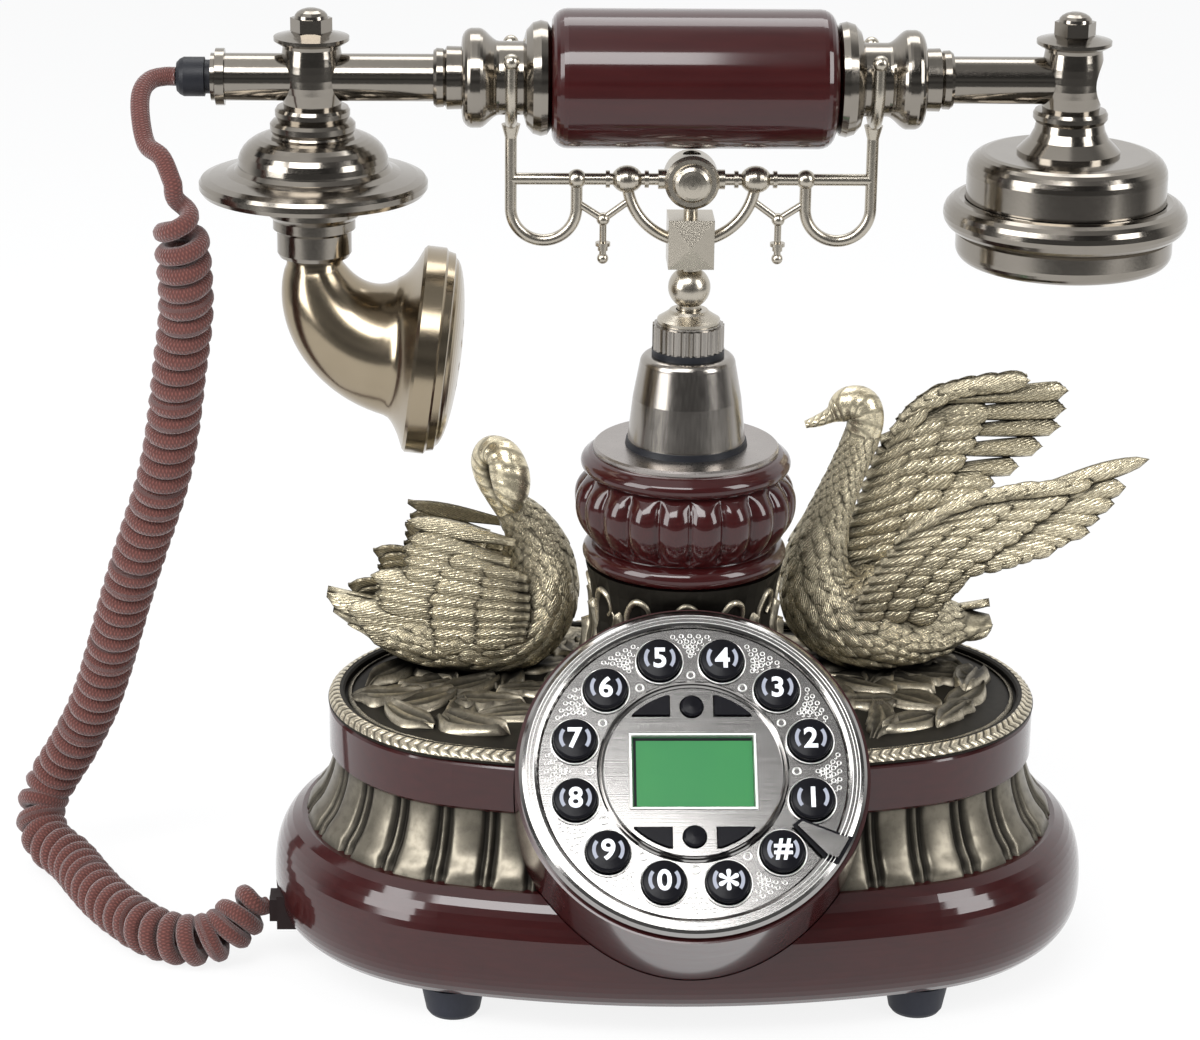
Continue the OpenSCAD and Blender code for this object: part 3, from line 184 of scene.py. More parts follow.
def cord_path():
    """The whole cord's middle line: out of the gland, down, round the curls, into the plug."""
    radius = (CURL_D - CORD_D) / 2 - 0.1
    centre = resample(spline(CURLS, 16), CENTRE_STEP)
    curls, turn, n = [], rad(180), len(centre)
    for i, (c, (_, s, b)) in enumerate(zip(centre, frames(centre))):
        # The coil opens out of the straight start and closes again into the plug
        opened = min(smooth(i / 45), smooth((n - 1 - i) / 20))
        pitch = lerp(STRAIGHT_PITCH, lerp(CURL_PITCH, 7.5, 1 - smooth(i / 80)), opened)
        curls.append(c + (s * math.cos(turn) + b * math.sin(turn)) * radius * opened)
        turn += CENTRE_STEP / pitch * 2 * math.pi
    tail = [(x, y, z + AXIS_Z) for x, y, z in TAIL[:-1]]
    start = curls[0]
    tail += [(lerp(tail[-1][0], start.x, 0.6), lerp(tail[-1][1], start.y, 0.6), 219)]
    joined = spline(tail + [tuple(start)], 10)[:-1] + curls
    return resample([Vector(p) for p in joined], CORD_STEP)


def add_cord(mat):
    """The cord's tube along its middle line."""
    path = cord_path()
    sides, verts, uvs, run = 14, [], [], 0.0
    for i, (p, (_, s, b)) in enumerate(zip(path, frames(path))):
        run += (p - path[i - 1]).length if i else 0
        for j in range(sides):
            a = 2 * math.pi * j / sides
            r = CORD_D / 2 * (1 - 0.035 * (j % 2))
            verts.append(p + (s * math.cos(a) + b * math.sin(a)) * r)
            uvs.append((run / 10, j / sides))
    n = len(path)
    faces = grid_faces(n, sides, wrap_v=True)
    faces += [tuple(range(sides - 1, -1, -1)), tuple(range((n - 1) * sides, n * sides))]
    ob = dress(new_mesh("cord", verts, faces, uvs), mat, "base", "cord_tail", "cord_curl")
    metres = [P(*p) for p in path]
    return ob


# ---------------------------------------------------------------- materials
class Nodes:
    """Short-hand for building a material's nodes."""

    def __init__(self, name):
        self.mat = bpy.data.materials.new(name)
        self.mat.use_nodes = True
        self.tree = self.mat.node_tree
        self.bsdf = self.tree.nodes["Principled BSDF"]

    def add(self, kind, **props):
        node = self.tree.nodes.new("ShaderNode" + kind)
        ins = props.pop("ins", {})
        for k, v in props.items():
            setattr(node, k, v)
        for k, v in ins.items():
            self.put(v, node.inputs[k])
        return node

    def put(self, value, socket):
        if isinstance(value, bpy.types.NodeSocket):
            self.tree.links.new(value, socket)
        elif isinstance(value, bpy.types.Node):
            self.tree.links.new(value.outputs[0], socket)
        else:
            socket.default_value = value

    def set(self, **values):
        names = {"color": "Base Color", "metal": "Metallic", "rough": "Roughness",
                 "coat": "Coat Weight", "coat_rough": "Coat Roughness", "normal": "Normal",
                 "spec": "Specular IOR Level", "sheen": "Sheen Weight"}
        for k, v in values.items():
            self.put(v, self.bsdf.inputs[names[k]])
        return self.mat

    def where(self, scale=(1, 1, 1), uv=False):
        """Place on the object in millimetres, stretched by scale."""
        co = self.add("TexCoord").outputs["UV" if uv else "Object"]
        k = 1 if uv else 1000
        return self.add("Mapping", ins={"Vector": co, "Scale": tuple(k * s for s in scale)})

    def noise(self, size, detail=4, stretch=(1, 1, 1), rough=0.55):
        co = self.where(tuple(s / size for s in stretch))
        return self.add("TexNoise", ins={"Vector": co, "Scale": 1.0, "Detail": detail,
                                         "Roughness": rough}).outputs["Fac"]

    def ramp(self, fac, stops):
        node = self.add("ValToRGB", ins={"Fac": fac})
        el = node.color_ramp.elements
        while len(el) < len(stops):
            el.new(0.5)
        for e, (pos, col) in zip(el, stops):
            e.position = pos
            e.color = (*col, 1) if isinstance(col, tuple) else (col, col, col, 1)
        return node.outputs["Color"]

    def math(self, op, a, b=0.0):
        return self.add("Math", operation=op, ins={0: a, 1: b}).outputs[0]

    def mix(self, fac, a, b):
        node = self.add("Mix", data_type="RGBA")
        self.put(fac, node.inputs[0])
        self.put(a if not isinstance(a, tuple) else (*a, 1), node.inputs[6])
        self.put(b if not isinstance(b, tuple) else (*b, 1), node.inputs[7])
        return node.outputs[2]

    def bump(self, height, depth):
        """Relief of the surface, depth in millimetres."""
        return self.add("Bump", ins={"Height": height, "Distance": depth / 1000,
                                     "Strength": 1.0}).outputs[0]

    def tone(self):
        return self.add("Attribute", attribute_name="tone").outputs["Fac"]


def wood():
    """Dark red stained wood under a clear glossy lacquer."""
    m = Nodes("mahogany")
    grain = m.noise(2.2, 6, (0.12, 1, 1))
    cloud = m.noise(26, 2)
    col = m.mix(m.math("MULTIPLY", grain, 0.8),
                (0.017, 0.0026, 0.0030), (0.045, 0.0046, 0.0044))
    col = m.mix(m.math("MULTIPLY", cloud, 0.5), col, (0.026, 0.0030, 0.0033))
    return m.set(color=col, rough=m.ramp(grain, [(0.3, 0.30), (0.8, 0.38)]), coat=1.0,
                 coat_rough=0.075, spec=0.1, normal=m.bump(m.noise(9, 2), 0.05))


def metal(name, light, dark, rough, brush=None, grime=0.5):
    """Smooth metal with a cloudy tarnish; brush stretches its fine scratches."""
    m = Nodes(name)
    cloud = m.noise(7, 5)
    fine = m.noise(0.6, 3, brush or (1, 1, 1))
    col = m.mix(m.math("MULTIPLY", cloud, grime), light, dark)
    spread = 0.10 if brush else 0.06
    r = m.ramp(fine, [(0.25, rough), (0.8, rough + spread)])
    return m.set(color=col, metal=1.0, rough=r, normal=m.bump(fine, 0.006 if brush else 0.004))


def carved(name, bright, dark, grain=0.9, depth=0.12, barbs=False, metallic=0.9, speck=0.45,
           hollow=1.6, bright_rough=0.25):
    """Antique cast metal: dark in the hollows, a painted shade from ambient occlusion, and bright
    where tone is high, a painted highlight on raised parts; random specks of wear dim it.
    """
    m = Nodes(name)
    # Ambient occlusion darkens the colour in the hollows: painted shade.
    ao = m.add("AmbientOcclusion", samples=6, ins={"Distance": 0.0035}).outputs["AO"]
    tone = m.tone()
    rough = m.noise(grain, 5)
    # Tone paints highlight on raised parts and shade in recesses; the noise below adds random
    # specks of wear.
    wear_and_painted_light = m.math("MULTIPLY", m.math("POWER", ao, hollow),
                  m.ramp(tone, [(0.05, 0.10), (0.75, 1.0)]))
    wear_and_painted_light = m.math("MULTIPLY", wear_and_painted_light, m.ramp(rough, [(0.32, speck), (0.56, 1.0)]))
    high = rough
    if barbs:
        at = m.where((0.9, 2.6, 1), uv=True)
        wave = m.add("TexWave", bands_direction="DIAGONAL", ins={
            "Vector": at, "Scale": 1.0, "Distortion": 3.0, "Detail": 2.0,
            "Detail Scale": 1.5}).outputs["Fac"]
        high = m.math("ADD", rough, m.math("MULTIPLY", wave, 1.4))
        wear_and_painted_light = m.math("MULTIPLY", wear_and_painted_light, m.ramp(wave, [(0.0, 0.5), (0.4, 1.0)]))
    col = m.mix(wear_and_painted_light, dark, bright)
    return m.set(color=col, metal=metallic, rough=m.ramp(wear_and_painted_light, [(0.1, 0.55), (0.9, bright_rough)]),
                 normal=m.bump(high, depth))


def plain(name, color, rough, **more):
    """Rubber or plastic of one colour, slightly mottled."""
    m = Nodes(name)
    tex = m.noise(3, 4)
    dim = tuple(c * 0.75 for c in color)
    return m.set(color=m.mix(tex, dim, color), normal=m.bump(m.noise(0.4, 3), 0.01),
                 rough=m.ramp(tex, [(0.3, rough), (0.7, rough + 0.08)]), **more)


def tinted(name, dark, light, size, detail, **more):
    """A material of two close colours that run into each other."""
    m = Nodes(name)
    return m.set(color=m.mix(m.noise(size, detail), dark, light), **more)


def braid():
    """Two crossing sets of threads, with a little fuzz."""
    m = Nodes("cord_braid")
    at = m.where((1, 1, 1), uv=True)
    wave = [m.add("TexWave", wave_type="BANDS", bands_direction="DIAGONAL", ins={
        "Vector": m.add("Mapping", ins={"Vector": at, "Scale": (9, s, 0)}), "Scale": 1.0,
        "Distortion": 0.6, "Detail": 1.0}).outputs["Fac"] for s in (4, -4)]
    weave = m.math("MULTIPLY", wave[0], wave[1])
    fuzz = m.noise(0.35, 4)
    col = m.mix(m.math("ADD", m.math("MULTIPLY", weave, 0.7), m.math("MULTIPLY", fuzz, 0.35)),
                (0.045, 0.0125, 0.010), (0.172, 0.056, 0.044))
    return m.set(color=col, rough=0.85, sheen=0.35, spec=0.25,
                 normal=m.bump(m.math("ADD", weave, m.math("MULTIPLY", fuzz, 0.5)), 0.16))


MAT = {
    "mahogany": wood(),
    "antique_gold": carved("antique_gold", (0.20, 0.18, 0.142), (0.006, 0.005, 0.004), 2.4, 0.03,
                           speck=0.7, hollow=2.4, bright_rough=0.36),
    "plate_relief": carved("plate_relief", (0.68, 0.61, 0.47), (0.008, 0.007, 0.006), 1.2, 0.05,
                           speck=0.65, hollow=2.2),
    "swan_gold": carved("swan_gold", (0.77, 0.685, 0.49), (0.026, 0.022, 0.015), 0.7, 0.08,
                        barbs=True, metallic=0.84, speck=0.65, hollow=2.3),
    "filigree": metal("filigree", (0.92, 0.91, 0.89), (0.74, 0.73, 0.71), 0.3),
    "antique_brass": metal("antique_brass", (0.30, 0.275, 0.24), (0.20, 0.18, 0.155), 0.12),
    "horn_brass": metal("horn_brass", (0.36, 0.30, 0.215), (0.25, 0.205, 0.14), 0.16),
    "pale_bronze": metal("pale_bronze", (0.50, 0.46, 0.39), (0.38, 0.345, 0.29), 0.24),
    "brushed_cone": metal("brushed_cone", (0.36, 0.335, 0.305), (0.26, 0.24, 0.215), 0.17,
                          brush=(1, 1, 0.04)),
    "engraved_nickel": metal("engraved_nickel", (0.40, 0.37, 0.35), (0.22, 0.2, 0.19), 0.26),
    "dial_nickel": metal("dial_nickel", (0.38, 0.37, 0.36), (0.27, 0.262, 0.255), 0.10,
                         brush=(0.03, 2.5, 2.5)),
    "key_black": plain("key_black", (0.006, 0.006, 0.008), 0.2, spec=0.1),
    "rubber_black": plain("rubber_black", (0.010, 0.011, 0.015), 0.42, spec=0.3),
    "rubber_feet": plain("rubber_feet", (0.018, 0.02, 0.03), 0.5, spec=0.3),
    "dark_plastic": plain("dark_plastic", (0.012, 0.005, 0.005), 0.5, spec=0.2),
    "mat_rubber": plain("mat_rubber", (0.08, 0.08, 0.085), 0.6),
    "cord_braid": braid(),
    "lcd_green": tinted("lcd_green", (0.022, 0.14, 0.05), (0.031, 0.17, 0.05), 14, 2,
                        rough=0.4, spec=0.2),
    "lcd_glass": tinted("lcd_glass", (0.024, 0.15, 0.053), (0.033, 0.18, 0.053), 14, 2,
                        rough=0.3, spec=0.2, coat=0.12, coat_rough=0.05),
    "ink_white": tinted("ink_white", (0.72, 0.74, 0.80), (0.86, 0.87, 0.92), 1.5, 3, rough=0.4),
    "ink_grey": tinted("ink_grey", (0.20, 0.21, 0.26), (0.31, 0.33, 0.39), 1.5, 3, rough=0.4),
}

for info in frame["record"]["subparts"]:
    ob = bpy.data.objects.get(info["node"])
    if ob and ob.type == "MESH":
        for slot in ob.material_slots:
            slot.material = MAT[info["material_slot"]]

add_cord(MAT["cord_braid"])


# ---------------------------------------------------------------- the oval base
END_R, END_C = 45.0, 47.6
LONG_R, LONG_C = 215.0, 163.2
LONG_A = math.asin(0.28)
END_A = math.pi / 2 - LONG_A


def oval(arc, s, t):
    """A point at share s of one of the oval's four arcs, moved outwards by t."""
    flip = 1 if arc < 2 else -1
    if arc % 2 == 0:
        a = lerp(-math.pi / 2 - LONG_A, -math.pi / 2 + LONG_A, s)
        c, r = (0, LONG_C), LONG_R + t
    else:
        a, c, r = lerp(-END_A, END_A, s), (END_C, 0), END_R + t
    return flip * (c[0] + r * math.cos(a)), flip * (c[1] + r * math.sin(a))


# ---------------------------------------------------------------- pedestal, horn and band
BOWL_LOBES, BOWL_PER_LOBE, BOWL_ROWS = 20, 16, 40
BOWL_Z, BOWL_H = 113.8, 19.4


def bowl_line(h):
    """Radius of the lobed bowl over its grooves, h from 0 at its foot to 1 at its neck."""
    if h < 0.58:
        return 28.25 - 5.8 * (1 - h / 0.58) ** 2.2
    return 28.25 - 4.8 * ((h - 0.58) / 0.42) ** 2.4


def bead(centre, radius, angles):
    """Points of a turned bead's outline, as (radius, height)."""
    return [(centre[0] + radius * math.cos(rad(a)), centre[1] + radius * math.sin(rad(a)))
            for a in angles]


def add_bowl():
    """Turned bowl with rounded lobes between a bead below and a bead above."""
    verts, n, per, rows = [], BOWL_LOBES * BOWL_PER_LOBE, BOWL_PER_LOBE, BOWL_ROWS
    low = [(0, 108.5), (23.85, 108.5)] + bead((23.85, 111.15), 2.65, range(-80, 91, 17))
    low += [(22.6, BOWL_Z)]
    top = [(23.9, 133.0), (25, 133.2)] + bead((25, 135.4), 2.2, range(-85, 66, 15))
    top += [(25.4, 137.9), (24.8, 138.4), (24, 138.5), (0, 138.5)]
    for i in range(n):
        a = 2 * math.pi * i / n
        groove = 1 - abs(math.sin(math.pi * i / per)) ** 0.7
        for r, z in low:
            verts.append((r * math.cos(a), r * math.sin(a), z))
        for k in range(rows):
            h = (k + 0.5) / rows
            fade = smooth(min(h, 1 - h) / 0.16)
            r = bowl_line(h) + 0.6 - 2.0 * groove * fade
            verts.append((r * math.cos(a), r * math.sin(a), BOWL_Z + BOWL_H * h))
        for r, z in top:
            verts.append((r * math.cos(a), r * math.sin(a), z))
    ob = new_mesh("bowl_lobed", verts, grid_faces(n, rows + len(low) + len(top), wrap_u=True))
    dress(ob, MAT["mahogany"], "base", "pedestal_bowl")


def add_horn():
    """Smooth bent horn, with its flare."""
    bend, tilt, r1, r2, ring = 22.0, 7.0, 7.1, 17.8, 26.5
    cx, cz = -95 + bend, -45.7 - 2
    path = [(Vector((-95, 0, -45.7)), r1)]
    for i in range(29):
        s = i / 28
        a = rad(180 + (90 - tilt) * s)
        path.append((Vector((cx + bend * math.cos(a), 0, cz + bend * math.sin(a))),
                     lerp(r1, r2, s ** 0.85)))
    out = Vector((math.cos(rad(tilt)), 0, -math.sin(rad(tilt))))
    e = path[-1][0]
    for d, r in ((1.0, r2 + 0.5), (2.0, r2 + 1.5), (3.0, r2 + 2.9), (4.0, r2 + 4.6),
                 (4.8, r2 + 6.4), (5.4, ring - 1)):
        path.append((e + out * d, r))
    sides, verts = 96, []
    for (p, r), (_, s, b) in zip(path, frames([p for p, r in path])):
        for j in range(sides):
            a = 2 * math.pi * j / sides
            q = p + (s * math.cos(a) + b * math.sin(a)) * r
            verts.append((q.x, q.y, q.z + AXIS_Z))
    ob = new_mesh("horn_smooth", verts, grid_faces(len(path), sides, wrap_v=True))
    dress(ob, MAT["horn_brass"], "handset", "horn")


def flute_height(u):
    """Relief across one flute, u from 0 to 1: a broad tongue, then a thin ridge in a slot."""
    if u < 0.64:
        v = u / 0.64
        return 1.05 * min(1, math.sin(math.pi * v) ** 0.4) - 0.2 * math.sin(math.pi * v)
    v = (u - 0.64) / 0.36
    return -1.1 + 1.6 * math.exp(-((v - 0.5) / 0.17) ** 2)


FLUTES = (10, 9, 10, 9)
FLUTES_Z, FLUTES_H = 38.5, 18


def add_flutes():
    """The flared cast band round the oval, with its tongues and slots."""
    per, rows = 22, 26
    verts, tone, cols = [], [], 0
    for arc, count in enumerate(FLUTES):
        for i in range(count * per):
            cols += 1
            u = (i % per) / per
            f = flute_height(u)
            for k in range(rows):
                h = k / (rows - 1)
                foot = 1 - smooth((h - 0.02) / 0.10)
                t = -1 + 7.2 * (1 - h) ** 1.7 + 0.9 * math.exp(-((h - 0.16) / 0.13) ** 2)
                depth = 1 - 0.35 * h
                rel = lerp(f, 0.75, foot if u < 0.64 else foot * 0.4)
                x, y = oval(arc, i / (count * per), t + depth * rel - 0.55)
                verts.append((x, y, FLUTES_Z + FLUTES_H * h))
                # Tone follows the relief's height: painted shade in the slots, painted highlight on
                # the tongues.
                tone.append(max(0.0, min(1.0, 0.42 + 0.5 * rel)))
    ob = new_mesh("flutes_cast", verts, grid_faces(cols, rows, wrap_u=True), tone=tone)
    dress(ob, MAT["antique_gold"], "base", "fluted_band")


add_bowl()
add_horn()
add_flutes()


# ---------------------------------------------------------------- feathers and leaves
class Relief:
    """Collects many small leaf-shaped shells into one mesh, with a tone for each point."""

    def __init__(self):
        self.verts, self.faces, self.tone, self.uvs = [], [], [], []

    def grid(self, nu, nv, point, wrap_v=False):
        base = len(self.verts)
        for i in range(nu):
            for j in range(nv):
                p, tone, uv = point(i / (nu - 1), j / (nv if wrap_v else nv - 1))
                self.verts.append(tuple(p))
                self.tone.append(max(0.0, min(1.0, tone)))
                self.uvs.append(uv)
        self.faces += grid_faces(nu, nv, wrap_v=wrap_v, base=base)

    def scale(self, surface, u, a, du, da, lift, rows=5, cols=5):
        """A small feather that hugs a surface(u, angle), from its root towards falling u."""
        def point(s, v):
            v = 2 * v - 1
            wide = 0.8 + 0.57 * s if s <= 0.35 else (1 - ((s - 0.35) / 0.65) ** 2.4) ** 0.5
            p, n = surface(u - du * s, a + da * v * wide)
            up = lift * (0.1 + s) * (1 - 0.55 * v * v) + 0.25 * lift * math.exp(-(v / 0.2) ** 2)
            # Tone: painted shade at the root, which the row above covers, and along the rim.
            edge = max(abs(v), s ** 4)
            tone = 0.25 + 0.75 * (1 - edge ** 3) * smooth(3 * s)
            return p + n * (up if s < 0.99 else up * 0.75), tone, (u + s * 3, v)
        self.grid(rows, cols, point)

    def blade(self, a, b, up, width, thick, curl=0.0, rows=12, cols=7, point_at=0.62):
        """A long feather or leaf between two points, closed on both sides."""
        a, b = Vector(a), Vector(b)
        d = b - a
        long = d.length
        d.normalize()
        up = Vector(up)
        up = (up - d * up.dot(d)).normalized()
        side = d.cross(up)

        def outline(s):
            if s < point_at:
                w = lerp(0.45, 1.0, smooth(s / point_at))
            else:
                w = (1 - ((s - point_at) / (1 - point_at)) ** 2.0) ** 0.6
            return w

        def point(s, v):
            bottom = v >= 0.5
            q = 4 * v - 1 if not bottom else 3 - 4 * v
            w = max(0.02, outline(s)) * width / 2
            rib = 0.5 * thick * math.exp(-(q / 0.18) ** 2) * (1 - 0.5 * s)
            h = thick * (1 - q * q) * 0.6 + rib
            lean = curl * long * s * s - 0.048 * width * q * q
            rise = lean + (h if not bottom else -0.4 * thick)
            p = a + d * (long * s) + side * (q * w) + up * rise
            # Tone: painted shade at the root, where the feathers overlap, and along the edges; the
            # underside gets a fixed middle tone.
            tone = 0.3 + 0.7 * (1 - abs(q) ** 4) * (0.35 + 0.65 * smooth(s * 1.6))
            return p, (0.6 if bottom else tone), (s * long / 3, q)
        n = 2 * (cols - 1)
        base = len(self.verts)
        self.grid(rows, n, point, wrap_v=True)
        last = base + (rows - 1) * n
        self.faces += [tuple(range(base + n - 1, base - 1, -1)), tuple(range(last, last + n))]

    def leaf(self, ground, a, b, width, high, bend=0.0, teeth=0, tip=0.0, rows=14, cols=11):
        """A leaf with raised edges and a midrib, pressed on ground(x, y, up) between two places."""
        a, b = Vector(a), Vector(b)
        d = b - a
        long = d.length
        side = Vector((-d.y, d.x)).normalized()

        def point(s, v):
            q = 2 * v - 1
            if s < 0.4:
                w = smooth(s / 0.4) * 0.75 + 0.25
            else:
                w = (1 - ((s - 0.4) / 0.6) ** 1.9) ** 0.7
            if teeth:
                w *= 1 - 0.3 * abs(math.sin(math.pi * teeth * s)) ** 4
            mid = a + d * s + side * (bend * long * math.sin(math.pi * s))
            p = mid + side * (q * max(w, 0.02) * width / 2)
            p -= d.normalized() * (0.18 * width * q * q * w)
            rib = math.exp(-(q / 0.13) ** 2) * (1 - 0.6 * s)
            cup = abs(q) ** 2.2
            up = high * (0.25 + 0.75 * cup + 0.35 * rib) * smooth(s * 5 + 0.2) + tip * s ** 3
            if abs(q) > 0.99 or s in (0, 1):
                up = -0.3
            # Tone: painted shade in the leaf's hollow, painted highlight on its raised edges,
            # midrib and tip.
            edge = max(cup ** 1.8, 0.75 * rib, s ** 6)
            tone = 0.04 + 0.96 * edge * (0.45 + 0.55 * smooth(1.4 * s))
            return ground(p.x, p.y, up), tone, (s, v)
        self.grid(rows, cols, point)

    def ridge(self, ground, points, thick, steps=5, taper=0.75):
        """A raised stem along a line of places on ground."""
        line = spline(points, steps)
        n = len(line)

        def point(s, v):
            i = min(int(s * (n - 1) + 0.5), n - 1)
            d = (line[min(i + 1, n - 1)] - line[max(i - 1, 0)]).normalized()
            q = 2 * v - 1
            r = thick * (1 - taper * s ** 2)
            p = line[i] + Vector((-d.y, d.x)) * (q * r)
            up = r * math.sqrt(max(0, 1 - q * q)) * 1.1 - 0.15
            # Tone: painted highlight along the stem's top, painted shade down its sides.
            return ground(p.x, p.y, up), 1 - 0.8 * abs(q) ** 3, (s, v)
        self.grid(n, 7, point)

    def build(self, name):
        return new_mesh(name, self.verts, self.faces, self.uvs, self.tone)


def body_surface(stations):
    """Surface(u, angle) of a bird's body through the same stations as the solid's."""
    pts = [Vector(s) for s in stations]
    n = len(pts)

    def centre(u):
        u = max(0.0, min(n - 1.0001, u))
        i = int(u)
        t = u - i
        a, b, c, d = (pts[max(0, min(n - 1, i + k))] for k in (-1, 0, 1, 2))
        return 0.5 * (2 * b + (c - a) * t + (2 * a - 5 * b + 4 * c - d) * t * t
                      + (3 * b - a - 3 * c + d) * t ** 3)

    def surface(u, a):
        s, before, after = centre(u), centre(u - 0.3), centre(u + 0.3)
        d = Vector((after[0] - before[0], after[1] - before[1], after[2] - before[2])).normalized()
        side = d.cross(Vector((0, 1, 0))).normalized()
        other = d.cross(side)
        p = Vector((s[0], s[1], s[2]))
        out = side * (s[3] * math.cos(a)) + other * (s[4] * math.sin(a))
        normal = side * (math.cos(a) / max(s[3], 0.1)) + other * (math.sin(a) / max(s[4], 0.1))
        return p + out, normal.normalized()
    surface.centre = centre
    surface.n = n
    return surface


def cover(relief, surface, u0, u1, size, lift, skip=None):
    """Covers a body with rows of overlapping scales, from u0 down to u1, pointing to the tail."""
    u, row = u0, 0
    while u > u1:
        s = surface.centre(u)
        step = (Vector(s[:3]) - Vector(surface.centre(u - 0.2)[:3])).length / 0.2
        du = size / max(step, 1.0)
        around = max(5, int(2 * math.pi * math.sqrt((s[3] ** 2 + s[4] ** 2) / 2) / (size * 0.82)))
        for k in range(around):
            a = 2 * math.pi * (k + 0.5 * (row % 2)) / around
            a += 0.25 * noise.noise(Vector((u, k, 3)))
            p, n = surface(u, a)
            if skip and skip(p, n):
                continue
            relief.scale(surface, u, a, du * 1.45, math.pi / around * 1.12,
                         lift * (1 + 0.3 * noise.noise(Vector((k * 1.7, row * 1.3, 1)))))
        u -= du * 0.72
        row += 1


def fan(relief, roots, tips, count, width, side, layer, thick=1.1, curl=0.03, tip=0.74):
    """A row of feathers from points along one line to points along another.

    side is -1 for the camera's side and 1 for the far one, layer the height over the wing,
    and tip the share of a long feather's length at which its end begins to round.
    """
    roots, tips = spline(roots, 12), spline(tips, 12)

    def at(line, t):
        f = t * (len(line) - 1)
        i = min(int(f), len(line) - 2)
        return line[i].lerp(line[i + 1], f - i)
    for i in range(count):
        t = (i + 0.5) / count
        a, b = at(roots, t), at(tips, t)
        long = (b - a).length
        if side > 0:
            a = a.lerp(b, 0.2)
        out = Vector((0, side, 0)) * (layer * 0.85 + 0.3 * (i % 2))
        b = b + (b - a) * (0.06 * noise.noise(Vector((i * 3.1, layer, count))))
        w = width * (0.9 + 0.2 * noise.noise(Vector((i * 1.7, layer + 5, 2))))
        relief.blade(a + out, b + out * 0.7, (0, side, 0.2), w, thick, curl=curl, cols=9,
                     rows=14 if long > 18 else 10, point_at=tip if long > 18 else 0.62)


SWAN_LEFT = [(-34, 0, 17, 1.2, 3), (-26, 0, 14.5, 4, 7.5), (-14, 0, 12, 9.5, 12),
             (0, 0, 11.5, 12.2, 14), (12, 0, 12.5, 13, 13), (18, 0, 17.5, 12, 11),
             (21, 0, 24.5, 9.8, 8.8), (20.5, 0, 32.5, 8.2, 7), (17.5, 0, 39.5, 6.4, 5.6),
             (13.6, 0, 44.6, 4.8, 4.6), (9.8, 0, 48.8, 3.7, 3.9), (6.8, 0, 53.4, 3.3, 3.6),
             (5.8, -0.5, 58.4, 3.4, 3.8), (7.6, -2, 61.6, 3.8, 4.2), (10.8, -4.5, 60.8, 4.6, 4.6),
             (12.6, -6.5, 56.6, 5.2, 5), (13.2, -7.5, 52, 4.6, 4.5), (13, -7.8, 48.4, 3, 3.2),
             (12.4, -7.8, 46.4, 1, 1.6)]
SWAN_RIGHT = [(26, 0, 13, 1.2, 4), (18, 0, 12, 4.5, 8), (8, 0, 12, 10, 12),
              (-5, 0, 13, 13.2, 13.5), (-15, 0, 16.5, 13.2, 12), (-20.5, 0, 22.5, 11, 9.8),
              (-21.6, 0, 30.5, 8.4, 7.8), (-19.8, 0, 39, 6.4, 6.2), (-17, 0, 47.5, 5.3, 5.2),
              (-14, 0, 55.5, 4.7, 4.6), (-11.2, 0, 63, 4.6, 4.5), (-9.8, 0, 69, 4.9, 4.5),
              (-11, 0, 73.2, 5.2, 4.7), (-14.4, 0, 73.8, 4.7, 4.3), (-17.2, 0, 72, 3.5, 3.3),
              (-19, 0, 70.8, 2.1, 2.5), (-22.4, 0, 69.2, 1.5, 2.2), (-25.6, 0, 68.2, 0.9, 1.8)]
DECK = 71.2  # the top plate's upper face
SWAN_X, SWAN_Y = 58, 18


def swan_body(relief, stations, neck_from):
    """Adds the smooth body; below neck_from it gets a dark tone, painted shade that shows between
    and under the feathers, and the neck's part of the stations, from neck_from, a brighter one.
    """
    surface = body_surface(stations)
    n = len(stations) - 1

    def point(s, v):
        # Dark body tone: painted shade between and under the feathers.
        tone = 0.35 if n * s < neck_from else 0.75
        return surface(n * s, 2 * math.pi * v)[0], tone, (s * 20, v)
    relief.grid(110, 40, point, wrap_v=True)
    return surface


def finish_swan(relief, name, node, x):
    """Stands a swan on the top plate at x; nothing of it reaches into the plate."""
    relief.verts = [(p[0] + x, p[1] + SWAN_Y, max(p[2], 0) + DECK) for p in relief.verts]
    dress(relief.build(name), MAT["swan_gold"], "base", node)


def hidden_below(p, n):
    """Places under a bird, which its feathers leave out."""
    return p.z < 1.5 or n.z < -0.75


